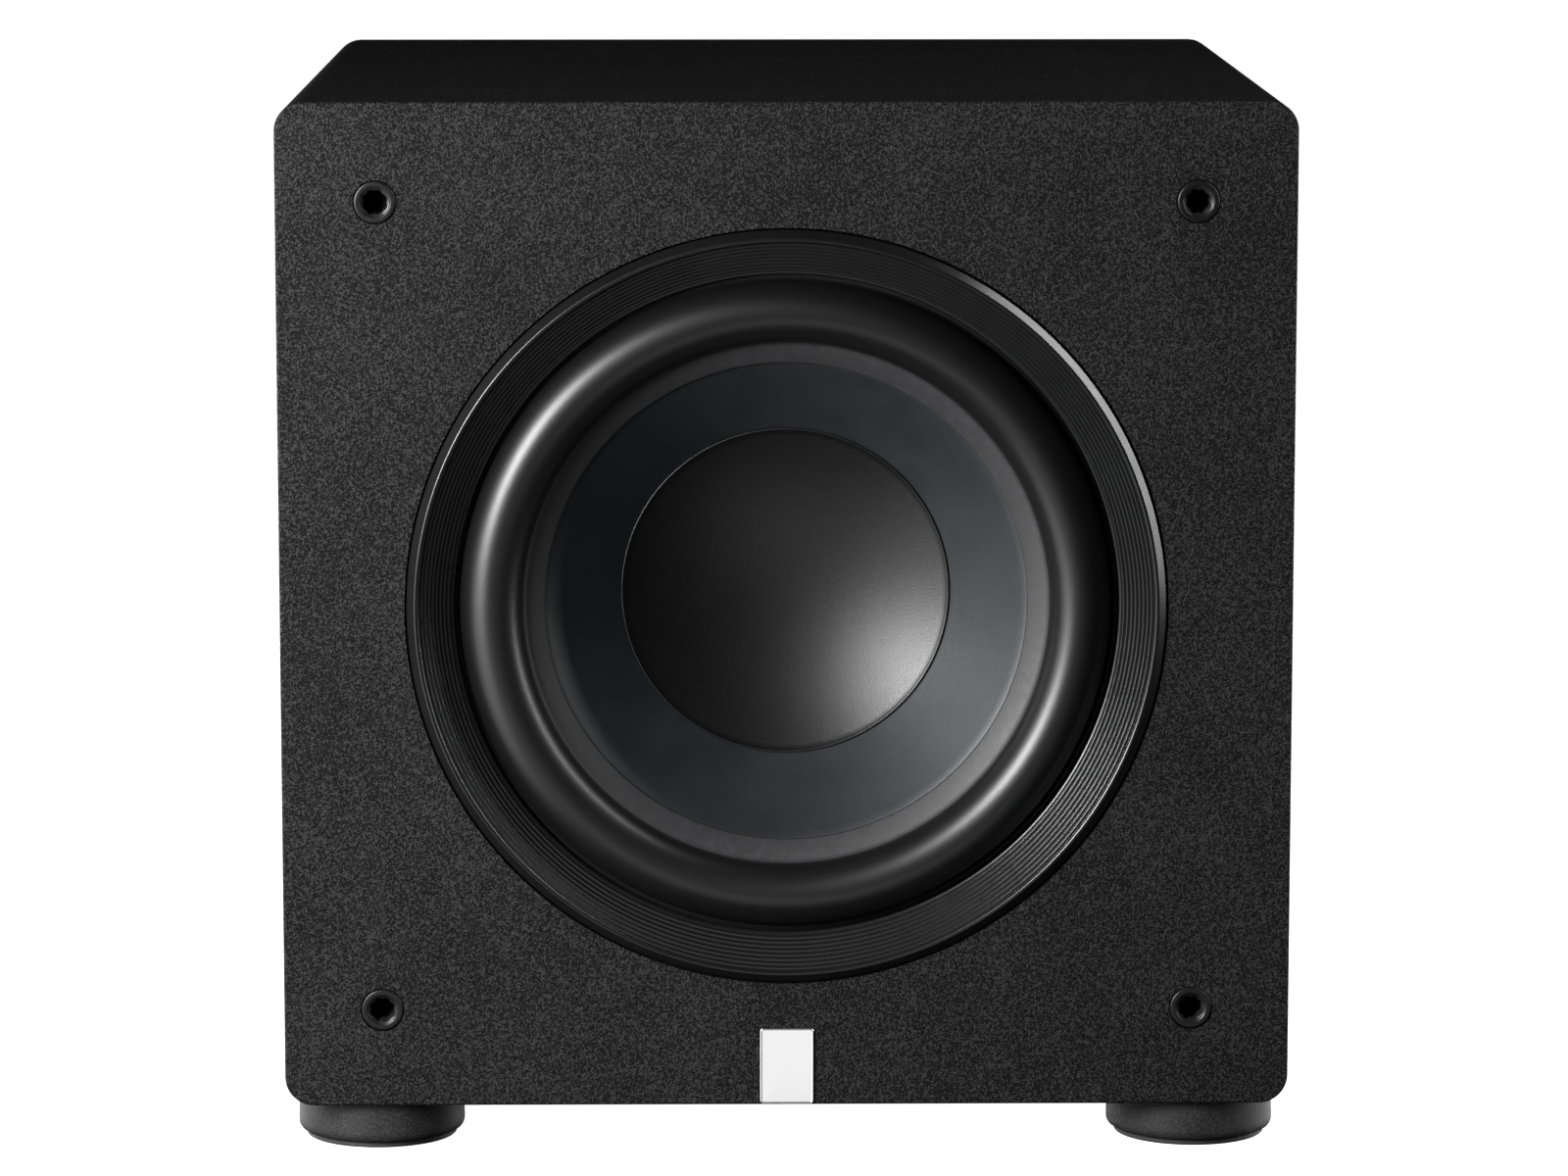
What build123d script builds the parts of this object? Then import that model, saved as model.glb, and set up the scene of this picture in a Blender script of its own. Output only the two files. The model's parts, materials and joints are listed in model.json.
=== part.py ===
from build123d import *
from math import cos, radians, sin, tan
import os

# A powered subwoofer. A sealed square cabinet stands on four round feet. A 10-inch long-throw
# woofer is let into the baffle behind a grooved trim ring, and an amplifier module with its
# controls, sockets and heat sink closes the back.
#
# Millimetres, +X to the right, +Z up; the front faces -Y. The origin is on the floor under the
# middle of the whole object. A "depth" is a distance behind the baffle's front face, and a
# turned part's profile is a list of (radius, depth) points about the woofer's axis.

# ---- cabinet -------------------------------------------------------------------------------
cabinet_width = 348.0
cabinet_height = 348.0
cabinet_depth = 360.0
corner_radius = 10.0
edge_rounding = 1.0
baffle_thickness = 25.0
panel_thickness = 18.0
brace_gap = 35.0
brace_thickness = 15.0
brace_rim = 38.0
brace_window_radius = 30.0
lining_thickness = 20.0
lining_margin = 26.0
lining_clearance = 8.0
lining_rounding = 5.0

# ---- feet ----------------------------------------------------------------------------------
foot_height = 17.0
foot_radius = 29.3
foot_draft = 0.4
foot_side_inset = 31.6
foot_end_inset = 34.5
foot_rounding = 2.5
foot_pad_height = 1.8
foot_pad_inset = 3.0
foot_pad_chamfer = 0.5
foot_screw_head_radius = 5.5
foot_screw_head_height = 3.0
foot_screw_radius = 2.5
foot_screw_grip = 14.0
foot_bore_clearance = 1.5
foot_floor = 8.0

# ---- grille sockets and badge --------------------------------------------------------------
socket_inset = 34.0
socket_head_radius = 7.25
socket_head_thickness = 3.0
socket_proud = 0.5
socket_barrel_radius = 5.0
socket_barrel_length = 15.0
socket_hole_radius = 3.35
socket_hole_depth = 12.5
socket_gap = 0.35
badge_width = 18.7
badge_height = 27.0
badge_thickness = 1.0
badge_corner = 1.0
badge_lift = 0.4
badge_rounding = 0.25

# ---- woofer: trim ring, frame and soft parts ------------------------------------------------
ring_cover = 1.0
ring_gap = 0.7
ring_bevel = 3.1
ring_crest_height = 2.3
ring_step = 1.2
ring_step_height = 1.8
ring_to_roll = 2.2
ring_inner_depth = 8.5
ring_groove_count = 9
ring_groove_depth = 0.55
ring_land_share = 0.6
ring_floor_share = 0.75
ring_lip = 0.8

flange_width = 12.3
flange_depth = 8.0
flange_thickness = 3.0
gasket_thickness = 1.5
frame_wall = 1.5
ledge_overhang = 2.4
ledge_thickness = 3.6
landing_inner = 70.0
landing_width = 10.0
landing_wall = 4.0
leg_wall = 2.2
leg_width = 14.0
leg_count = 6
leg_root = 1.0
window_margin = 8.0
cutout_clearance = 0.8
woofer_screw_radius = 2.1
woofer_screw_head_radius = 3.8
woofer_screw_length = 20.0
woofer_screw_count = 8

roll_width = 21.5
roll_base_depth = 12.0
roll_thickness = 1.2
surround_lip_width = 4.6
surround_lip_thickness = 1.4
surround_lip_gap = 0.2
cone_edge_radius = 83.3
cone_edge_depth = 16.4
glue_lip_width = 7.6
glue_lip_thickness = 0.8
cone_slope = 1.02
cone_wall = 1.7
cone_collar = 3.3
cap_radius = 57.5
cap_sag = 14.0
cap_thickness = 0.8

former_radius = 25.9
former_wall = 0.35
former_proud = 5.7
former_reach = 16.0
winding_thickness = 1.3
winding_length = 30.0
spider_standoff = 4.0
spider_thickness = 0.8
spider_glue_width = 9.0
spider_collar = 5.1
spider_margin = 3.0
spider_waves = 6
spider_wave_height = 2.2

# ---- woofer: motor --------------------------------------------------------------------------
plate_radius = 66.0
plate_thickness = 8.0
plate_seat_width = 10.0
spider_room = 15.0
coil_clearance = 1.0
magnet_radius = 70.0
magnet_setback = 3.8
magnet_thickness = 17.0
glue_line = 0.1
pole_clearance = 0.65
pole_vent_radius = 9.0
yoke_thickness = 8.0
boot_wall = 2.0
boot_front_gap = 4.0
boot_lip = 12.0
motor_clearance = 0.2

# ---- woofer: terminals and leads -------------------------------------------------------------
terminal_pad_width = 32.0
terminal_pad_height = 16.0
terminal_pad_thickness = 4.0
terminal_pad_depth = 54.0
terminal_pad_root = 3.7
terminal_board_thickness = 3.0
terminal_board_inset = 4.0
terminal_spacing = 22.0
terminal_drop = 10.0
tab_width = 6.3
tab_thickness = 0.8
tab_length = 8.0
lead_radius = 1.2
lead_end_gap = 0.2
tinsel_radius = 0.8
lead_gate_clearance = 1.5

# ---- amplifier plate and its tub --------------------------------------------------------------
amp_width = 230.0
amp_height = 270.0
amp_plate_thickness = 2.5
amp_corner = 4.0
amp_plate_rounding = 0.5
amp_gasket_thickness = 1.5
amp_rim = 15.0
tub_depth = 80.0
tub_wall = 1.5
tub_clearance = 2.0
tub_corner = 3.0
amp_screw_radius = 1.9
amp_screw_head_radius = 3.6
amp_screw_head_height = 2.2
amp_screw_dome = 0.8
amp_screw_length = 18.0
amp_screw_rows = 5
screw_clearance = 0.2
drive_depth = 1.2
drive_radius = 1.5

sink_width = 150.0
sink_height = 80.0
sink_base = 3.0
sink_proud = 16.0
sink_above_middle = 81.0
fin_thickness = 2.0
fin_count = 13
fin_pitch = 10.5
fin_rounding = 0.65
sink_screw_side = 1.0
sink_screw_end = 10.0

# ---- controls -----------------------------------------------------------------------------------
controls_height = 9.0
volume_x = 55.0
crossover_x = 15.0
phase_x = -30.0
mode_x = -70.0
led_x = 88.0
led_radius = 1.6
led_length = 6.0
led_flange = 0.6
control_depth = 8.0
pot_radius = 8.5
pot_back_wall = 2.0
bushing_wall = 0.45
bushing_proud = 3.0
shaft_radius = 3.0
shaft_fit = 0.05
shaft_proud = 11.5
shaft_end_play = 0.5
shaft_chamfer = 0.4
nut_wall = 1.5
nut_thickness = 2.0
knob_radius = 9.5
knob_height = 11.4
knob_gap = 0.6
knob_grip_count = 24
knob_grip_radius = 0.6
knob_grip_sink = 0.4
knob_grip_margin = 2.0
knob_rounding = 1.0
knob_pointer_width = 1.0
knob_pointer_length = 4.75
knob_pointer_inset = 1.4
knob_pointer_depth = 0.5
moving_gap = 0.4

switch_width = 14.0
switch_height = 7.0
lever_width = 4.0
lever_height = 3.2
lever_proud = 3.0
lever_travel = 4.0
lever_root = 4.5
lever_rounding = 0.4

rocker_x = -50.0
rocker_below = 51.0
rocker_width = 10.4
rocker_half_length = 7.6
rocker_height = 5.0
rocker_dip = 1.1
rocker_root = 3.0
rocker_root_half = 4.5
rocker_tilt = 8.0
rocker_pin_radius = 1.2
rocker_pivot_lift = 0.5
rocker_end_gap = 0.5
rocker_rounding = 0.8
rocker_pin_reach = 0.6
rocker_pin_wall = 0.4
bezel_rim = 2.2
bezel_thickness = 2.0
bezel_rounding = 0.6
rocker_frame_wall = 1.2
rocker_frame_depth = 14.0

# ---- mains inlet, fuse drawer and signal sockets ---------------------------------------------------
inlet_x = -50.0
inlet_below = 95.0
inlet_side_wall = 2.7
inlet_height = 42.0
inlet_flange = 2.5
inlet_step = 2.0
inlet_rounding = 0.8
inlet_body_depth = 21.0
inlet_cavity_width = 24.0
inlet_cavity_height = 16.0
inlet_cavity_depth = 15.5
inlet_cavity_up = 9.0
inlet_cavity_bevel = 4.0
pin_width = 2.0
pin_height = 4.0
pin_spacing = 7.0
pin_earth_up = 2.0
pin_recess = 5.0
pin_tail = 5.0
drawer_headroom = 2.2
drawer_depth = 18.0
drawer_down = 12.0
drawer_gap = 0.3
drawer_lip = 2.0
drawer_lip_height = 3.0
drawer_wall = 0.8
drawer_rounding = 0.5
pocket_setback = 2.0
fuse_radius = 2.5
fuse_length = 20.0
fuse_play = 0.2

rca_x = 40.0
rca_below = 99.0
rca_spacing = 20.0
rca_block_width = 38.0
rca_block_height = 15.0
rca_block_depth = 12.0
rca_collar_radius = 5.5
rca_collar_proud = 1.0
rca_shell_radius = 4.15
rca_shell_inner = 3.3
rca_spigot_radius = 3.95
rca_spigot_length = 4.0
rca_shell_length = 8.0
rca_contact_radius = 1.7
rca_contact_inner = 1.2
rca_core_setback = 2.0

# ---- boards and parts on them --------------------------------------------------------------------
board_width = 150.0
board_height = 180.0
board_thickness = 1.6
board_standoff = 32.0
board_hole_inset = 7.0
lead_plug_width = 14.0
lead_plug_height = 8.0
spacer_radius = 3.0
spacer_head = 2.0
signal_board_width = 164.0
signal_board_height = 26.0
transistor_width = 16.0
transistor_height = 20.0
transistor_thickness = 5.0
transistor_spacing = 26.0
transistor_count = 4
capacitor_radius = 15.0
capacitor_height = 34.0
capacitor_rounding = 1.5
capacitor_x = -45.0
capacitor_up = 5.0
capacitor_spacing = 35.0
transformer_core = (40.0, 32.0, 12.0)
transformer_winding = (26.0, 28.0, 26.0)
transformer_x = 40.0
transformer_up = 25.0

# ---- worked out from the sizes above ----------------------------------------------------------------
roll_inner = cone_edge_radius + glue_lip_width
roll_outer = roll_inner + roll_width
ring_inner_radius = roll_outer + ring_to_roll
surround_lip_outer = roll_outer + surround_lip_width
frame_wall_inner = surround_lip_outer + surround_lip_gap
wall_outer = frame_wall_inner + frame_wall
flange_radius = frame_wall_inner + flange_width
ring_radius = flange_radius + ring_cover
ring_crest_radius = ring_radius - ring_bevel
ring_step_radius = ring_crest_radius - ring_step
ledge_inner = roll_outer - ledge_overhang
ledge_depth = roll_base_depth + surround_lip_thickness
landing_radius = landing_inner + landing_width + landing_wall
cutout_radius = wall_outer + cutout_clearance
woofer_screw_circle = (flange_radius + cutout_radius) / 2
cone_glue_depth = cone_edge_depth + glue_lip_thickness
rim_glue_depth = roll_base_depth + glue_lip_thickness
neck_depth = cone_glue_depth + (cone_edge_radius - former_radius) * cone_slope
collar_back = neck_depth + cone_collar
landing_depth = collar_back + spider_standoff
plate_depth = landing_depth + spider_room
magnet_front = plate_depth + plate_thickness
yoke_front = magnet_front + 2 * magnet_thickness + glue_line
boot_back = yoke_front + yoke_thickness
winding_radius = former_radius + winding_thickness
magnet_bore = winding_radius + coil_clearance + magnet_setback
brace_depth = boot_back + boot_wall + brace_gap
bushing_radius = shaft_radius + shaft_fit + bushing_wall
drawer_width = fuse_length + 2 * fuse_play + 2 * drawer_wall
drawer_height = 2 * fuse_radius + drawer_wall + drawer_headroom
inlet_width = drawer_width + 2 * drawer_gap + 2 * inlet_side_wall + 2 * inlet_step
rear_proud = amp_gasket_thickness + amp_plate_thickness + sink_proud
front_y = -(cabinet_depth + rear_proud - ring_crest_height) / 2
middle_z = foot_height + cabinet_height / 2
axis_z = middle_z
half_width = cabinet_width / 2
half_height = cabinet_height / 2
inner_half_width = half_width - panel_thickness
inner_half_height = half_height - panel_thickness
gasket_depth = flange_depth + flange_thickness
rebate_depth = gasket_depth + gasket_thickness
rebate_radius = ring_radius + ring_gap
plate_front = cabinet_depth + amp_gasket_thickness
plate_back = plate_front + amp_plate_thickness
controls_z = middle_z + controls_height
rocker_z = middle_z - rocker_below
inlet_z = middle_z - inlet_below
rca_z = middle_z - rca_below
sink_z = middle_z + sink_above_middle
amp_screw_dx = amp_width - amp_rim
amp_screw_dz = (amp_height - amp_rim) / (amp_screw_rows - 1)
amp_screw_places = [
    (x, middle_z + row * amp_screw_dz)
    for x in (-amp_screw_dx / 2, amp_screw_dx / 2)
    for row in range(-(amp_screw_rows // 2), amp_screw_rows // 2 + 1)
] + [(0, middle_z - (amp_height - amp_rim) / 2), (0, middle_z + (amp_height - amp_rim) / 2)]
sink_screw_x = sink_width / 2 - amp_screw_head_radius - sink_screw_side
sink_screw_places = [
    (x * sink_screw_x, sink_z + z * (sink_height / 2 - sink_screw_end))
    for x in (-1, 1)
    for z in (-1, 1)
]
socket_places = [
    (x * (half_width - socket_inset), middle_z + z * (half_height - socket_inset))
    for x in (-1, 1)
    for z in (-1, 1)
]
spacer_places = [
    (x * (board_width / 2 - board_hole_inset), middle_z + z * (board_height / 2 - board_hole_inset))
    for x in (-1, 1)
    for z in (-1, 1)
]
pot_places = [(volume_x, controls_z), (crossover_x, controls_z)]
rca_places = [(rca_x - rca_spacing / 2, rca_z), (rca_x + rca_spacing / 2, rca_z)]


def upright(depth):
    """The vertical plane at a depth: its x is +X, its y is +Z from the floor, its normal is -Y."""
    return Plane.XZ.offset(-(front_y + depth))


def woofer_face(depth):
    """The vertical plane at a depth, centred on the woofer's axis."""
    return Plane(origin=(0, front_y + depth, axis_z), x_dir=(1, 0, 0), z_dir=(0, -1, 0))


turning_plane = Plane(origin=(0, front_y, axis_z), x_dir=(1, 0, 0), z_dir=(0, 0, 1))
woofer_axis = Axis((0, front_y, axis_z), (0, 1, 0))


def turned(points):
    """Add the solid that (radius, depth) corners sweep about the woofer's axis."""
    with BuildSketch(turning_plane) as profile:
        with BuildLine():
            Polyline(*points, close=True)
        make_face()
    revolve(profile.sketch, axis=woofer_axis)


def round_ring(outer, inner, depth, thickness):
    """Add a flat ring about the woofer's axis."""
    turned([(inner, depth), (outer, depth), (outer, depth + thickness), (inner, depth + thickness)])


def drilled(places, radius, depth, length):
    """Cut round holes backwards from a depth at (x, z) places."""
    with BuildSketch(upright(depth)) as holes:
        with Locations(*places):
            Circle(radius)
    extrude(holes.sketch, amount=-length, mode=Mode.SUBTRACT)


def block(x, z, width, height, depth, length, mode=Mode.ADD):
    """Add or cut a box centred at (x, z), from a depth backwards over a length."""
    with BuildSketch(upright(depth)) as outline:
        with Locations((x, z)):
            Rectangle(width, height)
    extrude(outline.sketch, amount=-length, mode=mode)


def post(places, radius, depth, length):
    """Add round posts backwards from a depth at (x, z) places."""
    with BuildSketch(upright(depth)) as outline:
        with Locations(*places):
            Circle(radius)
    extrude(outline.sketch, amount=-length)


def arc_radii(points):
    """The largest arcs that a route's runs allow, one for each corner."""
    radii = []
    for before, corner, after in zip(points, points[1:], points[2:]):
        run_in = Vector(*corner) - Vector(*before)
        run_out = Vector(*after) - Vector(*corner)
        half_turn = radians(run_in.get_angle(run_out)) / 2
        radii.append(0.45 * min(run_in.length, run_out.length) / tan(half_turn))
    return radii


def tube(points, radius):
    """Add a round lead along straight runs that tangent arcs join."""
    radii = arc_radii(points)
    with BuildLine() as route:
        FilletPolyline(*points, radius=radii)
    path = route.wires()[0]
    with BuildSketch(Plane(origin=path @ 0, z_dir=path % 0)) as section:
        Circle(radius)
    sweep(section.sketch, path=path)
    print("lead arcs", [round(r, 1) for r in radii], "length", round(path.length, 1))


# ================================ cabinet =====================================================
with BuildPart() as front_baffle:
    with BuildSketch(upright(0)):
        with Locations((0, middle_z)):
            RectangleRounded(cabinet_width, cabinet_height, corner_radius)
    extrude(amount=-baffle_thickness)
    fillet(front_baffle.faces().sort_by(Axis.Y)[0].edges(), edge_rounding)
    with Locations(woofer_face(0)):
        CounterBoreHole(cutout_radius, rebate_radius, rebate_depth, baffle_thickness)
    with Locations(woofer_face(rebate_depth)):
        with PolarLocations(woofer_screw_circle, woofer_screw_count):
            Hole(woofer_screw_radius, baffle_thickness - rebate_depth)
    with Locations(upright(0)):
        with Locations(*socket_places):
            CounterBoreHole(
                socket_barrel_radius,
                socket_head_radius + socket_gap,
                socket_head_thickness - socket_proud,
                socket_barrel_length + socket_head_thickness - socket_proud,
            )

wall_corners = {
    "top_panel": [(-half_width, half_height), (half_width, half_height),
                  (inner_half_width, inner_half_height), (-inner_half_width, inner_half_height)],
    "bottom_panel": [(-half_width, -half_height), (half_width, -half_height),
                     (inner_half_width, -inner_half_height), (-inner_half_width, -inner_half_height)],
    "left_panel": [(-half_width, -half_height), (-half_width, half_height),
                   (-inner_half_width, inner_half_height), (-inner_half_width, -inner_half_height)],
    "right_panel": [(half_width, -half_height), (half_width, half_height),
                    (inner_half_width, inner_half_height), (inner_half_width, -inner_half_height)],
}
foot_dx = cabinet_width - 2 * foot_side_inset
foot_dy = cabinet_depth - 2 * foot_end_inset
foot_middle_y = front_y + cabinet_depth / 2
walls = {}
for wall_name, corners in wall_corners.items():
    with BuildPart() as wall:
        with BuildSketch(upright(baffle_thickness)):
            with Locations((0, middle_z)):
                RectangleRounded(cabinet_width, cabinet_height, corner_radius)
                Polygon(*corners, align=None, mode=Mode.INTERSECT)
        extrude(amount=-(cabinet_depth - baffle_thickness))
        if wall_name == "bottom_panel":
            with Locations((0, foot_middle_y, foot_height)):
                with GridLocations(foot_dx, foot_dy, 2, 2):
                    Cylinder(foot_screw_radius, foot_screw_grip,
                             align=(Align.CENTER, Align.CENTER, Align.MIN), mode=Mode.SUBTRACT)
    walls[wall_name] = wall

opening_width = amp_width - 2 * amp_rim
opening_height = amp_height - 2 * amp_rim
with BuildPart() as rear_panel:
    rear_panel_depth = cabinet_depth - panel_thickness
    block(0, middle_z, 2 * inner_half_width, 2 * inner_half_height, rear_panel_depth, panel_thickness)
    block(0, middle_z, opening_width, opening_height, rear_panel_depth, panel_thickness, Mode.SUBTRACT)
    drilled(amp_screw_places, amp_screw_radius, rear_panel_depth, panel_thickness)

with BuildPart() as window_brace:
    with BuildSketch(upright(brace_depth)):
        with Locations((0, middle_z)):
            Rectangle(2 * inner_half_width, 2 * inner_half_height)
            RectangleRounded(2 * (inner_half_width - brace_rim), 2 * (inner_half_height - brace_rim),
                             brace_window_radius, mode=Mode.SUBTRACT)
    extrude(amount=-brace_thickness)

lining_front = brace_depth + brace_thickness + lining_clearance
lining_length = rear_panel_depth - lining_clearance - lining_front
with BuildPart() as lining_pads:
    side_x = inner_half_width - lining_thickness / 2
    side_height = 2 * (inner_half_height - lining_margin)
    top_z = middle_z + inner_half_height - lining_thickness / 2
    for side in (-1, 1):
        block(side * side_x, middle_z, lining_thickness, side_height, lining_front, lining_length)
    block(0, top_z, 2 * (inner_half_width - lining_margin), lining_thickness, lining_front, lining_length)
    fillet(lining_pads.edges().filter_by(Axis.Y), lining_rounding)

# ================================ feet ========================================================
stand_up = (Align.CENTER, Align.CENTER, Align.MIN)
foot_bore_radius = foot_screw_head_radius + foot_bore_clearance
foot_pad_radius = foot_radius - foot_pad_inset
with BuildPart() as foot_bodies:
    with Locations((0, foot_middle_y, foot_pad_height)):
        with GridLocations(foot_dx, foot_dy, 2, 2):
            Cone(foot_radius, foot_radius - foot_draft, foot_height - foot_pad_height, align=stand_up)
    fillet(foot_bodies.edges().filter_by(GeomType.CIRCLE).group_by(Axis.Z)[0], foot_rounding)
    with Locations((0, foot_middle_y, foot_pad_height)):
        with GridLocations(foot_dx, foot_dy, 2, 2):
            Cylinder(foot_bore_radius, foot_height - foot_floor - foot_pad_height, align=stand_up,
                     mode=Mode.SUBTRACT)
            Cylinder(foot_screw_radius, foot_height - foot_pad_height, align=stand_up, mode=Mode.SUBTRACT)

with BuildPart() as foot_pads:
    with Locations((0, foot_middle_y, 0)):
        with GridLocations(foot_dx, foot_dy, 2, 2):
            Cylinder(foot_pad_radius, foot_pad_height, align=stand_up)
    chamfer(foot_pads.edges().filter_by(GeomType.CIRCLE).group_by(Axis.Z)[0], foot_pad_chamfer)
    with Locations((0, foot_middle_y, 0)):
        with GridLocations(foot_dx, foot_dy, 2, 2):
            Cylinder(foot_bore_radius, foot_pad_height, align=stand_up, mode=Mode.SUBTRACT)

with BuildPart() as foot_screws:
    with Locations((0, foot_middle_y, foot_height - foot_floor - foot_screw_head_height)):
        with GridLocations(foot_dx, foot_dy, 2, 2):
            Cylinder(foot_screw_head_radius, foot_screw_head_height, align=stand_up)
            Cylinder(foot_screw_radius, foot_screw_head_height + foot_floor + foot_screw_grip,
                     align=stand_up)
            Cylinder(drive_radius, drive_depth, align=stand_up, mode=Mode.SUBTRACT)

# ================================ front trim ====================================================
with BuildPart() as grille_sockets:
    post(socket_places, socket_head_radius, -socket_proud, socket_head_thickness)
    fillet(grille_sockets.edges().group_by(Axis.Y)[0], socket_proud)
    post(socket_places, socket_barrel_radius, socket_head_thickness - socket_proud, socket_barrel_length)
    drilled(socket_places, socket_hole_radius, -socket_proud, socket_hole_depth)

with BuildPart() as badge:
    badge_z = foot_height + badge_lift + badge_height / 2
    with BuildSketch(upright(-badge_thickness)):
        with Locations((0, badge_z)):
            RectangleRounded(badge_width, badge_height, badge_corner)
    extrude(amount=-badge_thickness)
    fillet(badge.faces().sort_by(Axis.Y)[0].edges(), badge_rounding)

# ================================ woofer: trim ring and frame ====================================
groove_pitch = (ring_step_radius - ring_inner_radius) / ring_groove_count
groove_fall = (ring_inner_depth + ring_step_height) / ring_groove_count
ring_points = [(ring_radius, flange_depth), (ring_radius, ring_lip / 2),
               (ring_radius - ring_lip / 2, 0),
               (ring_crest_radius + ring_lip, -ring_crest_height + ring_lip),
               (ring_crest_radius, -ring_crest_height), (ring_step_radius + ring_lip, -ring_crest_height)]
for groove in range(ring_groove_count):
    land_r = ring_step_radius - groove * groove_pitch
    land_d = -ring_step_height + groove * groove_fall
    ring_points.append((land_r, land_d))
    ring_points.append((land_r - ring_land_share * groove_pitch,
                        land_d + ring_land_share * groove_fall))
    ring_points.append((land_r - ring_floor_share * groove_pitch,
                        land_d + ring_floor_share * groove_fall + ring_groove_depth))
ring_points += [(ring_inner_radius, ring_inner_depth), (ring_inner_radius, ring_inner_depth + ring_lip),
                (ring_inner_radius + ring_lip / 2, roll_base_depth), (surround_lip_outer, roll_base_depth),
                (surround_lip_outer, flange_depth)]
with BuildPart() as trim_ring:
    turned(ring_points)

seat_front = plate_depth - flange_thickness
ledge_back = ledge_depth + ledge_thickness
leg_end = landing_depth + leg_root


def leg_radius(depth):
    """Outer radius of the frame's sloping legs at a depth."""
    share = (depth - ledge_back) / (leg_end - ledge_back)
    return wall_outer + (landing_radius - wall_outer) * share


terminal_pad_back = terminal_pad_depth + terminal_pad_thickness
terminal_reach = leg_radius(terminal_pad_back) - terminal_pad_root
with BuildPart() as woofer_frame:
    turned([
        (flange_radius, flange_depth), (flange_radius, gasket_depth), (wall_outer, gasket_depth),
        (wall_outer, ledge_back), (landing_radius, leg_end),
        (landing_radius, plate_depth), (plate_radius - plate_seat_width, plate_depth),
        (plate_radius - plate_seat_width, seat_front), (landing_inner, seat_front),
        (landing_inner, landing_depth), (landing_inner + landing_width, landing_depth),
        (frame_wall_inner - leg_wall, ledge_back), (ledge_inner, ledge_back), (ledge_inner, ledge_depth),
        (frame_wall_inner, ledge_depth), (frame_wall_inner, flange_depth),
    ])
    window_front = ledge_back + window_margin
    with BuildSketch(woofer_face(window_front)):
        Circle(flange_radius)
        Circle(landing_inner + window_margin / 2, mode=Mode.SUBTRACT)
        with PolarLocations(0, leg_count // 2, start_angle=180 / leg_count, angular_range=180):
            Rectangle(2 * (flange_radius + leg_width), leg_width, mode=Mode.SUBTRACT)
    extrude(amount=-(landing_depth - window_margin / 2 - window_front), mode=Mode.SUBTRACT)
    block(0, axis_z - terminal_reach - terminal_pad_height / 2, terminal_pad_width, terminal_pad_height,
          terminal_pad_depth, terminal_pad_thickness)
    with Locations(woofer_face(flange_depth)):
        with PolarLocations(woofer_screw_circle, woofer_screw_count):
            CounterSinkHole(woofer_screw_radius + screw_clearance, woofer_screw_head_radius,
                            flange_thickness, counter_sink_angle=90)

with BuildPart() as woofer_gasket:
    round_ring(flange_radius, cutout_radius, gasket_depth, gasket_thickness)
    with Locations(woofer_face(gasket_depth)):
        with PolarLocations(woofer_screw_circle, woofer_screw_count):
            Hole(woofer_screw_radius + screw_clearance, gasket_thickness)

into_baffle = (Align.CENTER, Align.CENTER, Align.MAX)
with BuildPart() as woofer_screws:
    with Locations(woofer_face(flange_depth)):
        with PolarLocations(woofer_screw_circle, woofer_screw_count):
            Cone(woofer_screw_radius, woofer_screw_head_radius,
                 woofer_screw_head_radius - woofer_screw_radius, align=into_baffle)
            Cylinder(woofer_screw_radius, min(woofer_screw_length, baffle_thickness - flange_depth),
                     align=into_baffle)
            Cylinder(drive_radius, drive_depth, align=into_baffle, mode=Mode.SUBTRACT)

# ================================ woofer: moving parts ============================================
roll_middle = (roll_inner + roll_outer) / 2
roll_radius = (roll_outer - roll_inner) / 2
with BuildPart() as surround:
    with BuildSketch(turning_plane):
        with BuildLine():
            Polyline((roll_outer, roll_base_depth), (surround_lip_outer, roll_base_depth),
                     (surround_lip_outer, ledge_depth), (roll_outer - roll_thickness, ledge_depth),
                     (roll_outer - roll_thickness, roll_base_depth))
            ThreePointArc((roll_outer - roll_thickness, roll_base_depth),
                          (roll_middle, roll_base_depth - roll_radius + roll_thickness),
                          (roll_inner + roll_thickness, roll_base_depth))
            Polyline((roll_inner + roll_thickness, roll_base_depth), (roll_inner, rim_glue_depth),
                     (cone_edge_radius, cone_glue_depth), (cone_edge_radius, cone_edge_depth),
                     (roll_inner, roll_base_depth))
            ThreePointArc((roll_inner, roll_base_depth), (roll_middle, roll_base_depth - roll_radius),
                          (roll_outer, roll_base_depth))
        make_face()
    revolve(axis=woofer_axis)


def cone_front(radius):
    """Depth of the cone's front face at a radius inside its outer edge."""
    return cone_glue_depth + (cone_edge_radius - radius) * cone_slope


with BuildPart() as cone:
    collar_outer = former_radius + cone_wall / cone_slope
    turned([
        (roll_inner, rim_glue_depth), (cone_edge_radius, cone_glue_depth),
        (former_radius, neck_depth), (former_radius, collar_back),
        (collar_outer, collar_back), (collar_outer, cone_front(collar_outer) + cone_wall),
        (cone_edge_radius, cone_glue_depth + cone_wall), (roll_inner, rim_glue_depth + cone_wall),
    ])

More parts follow.
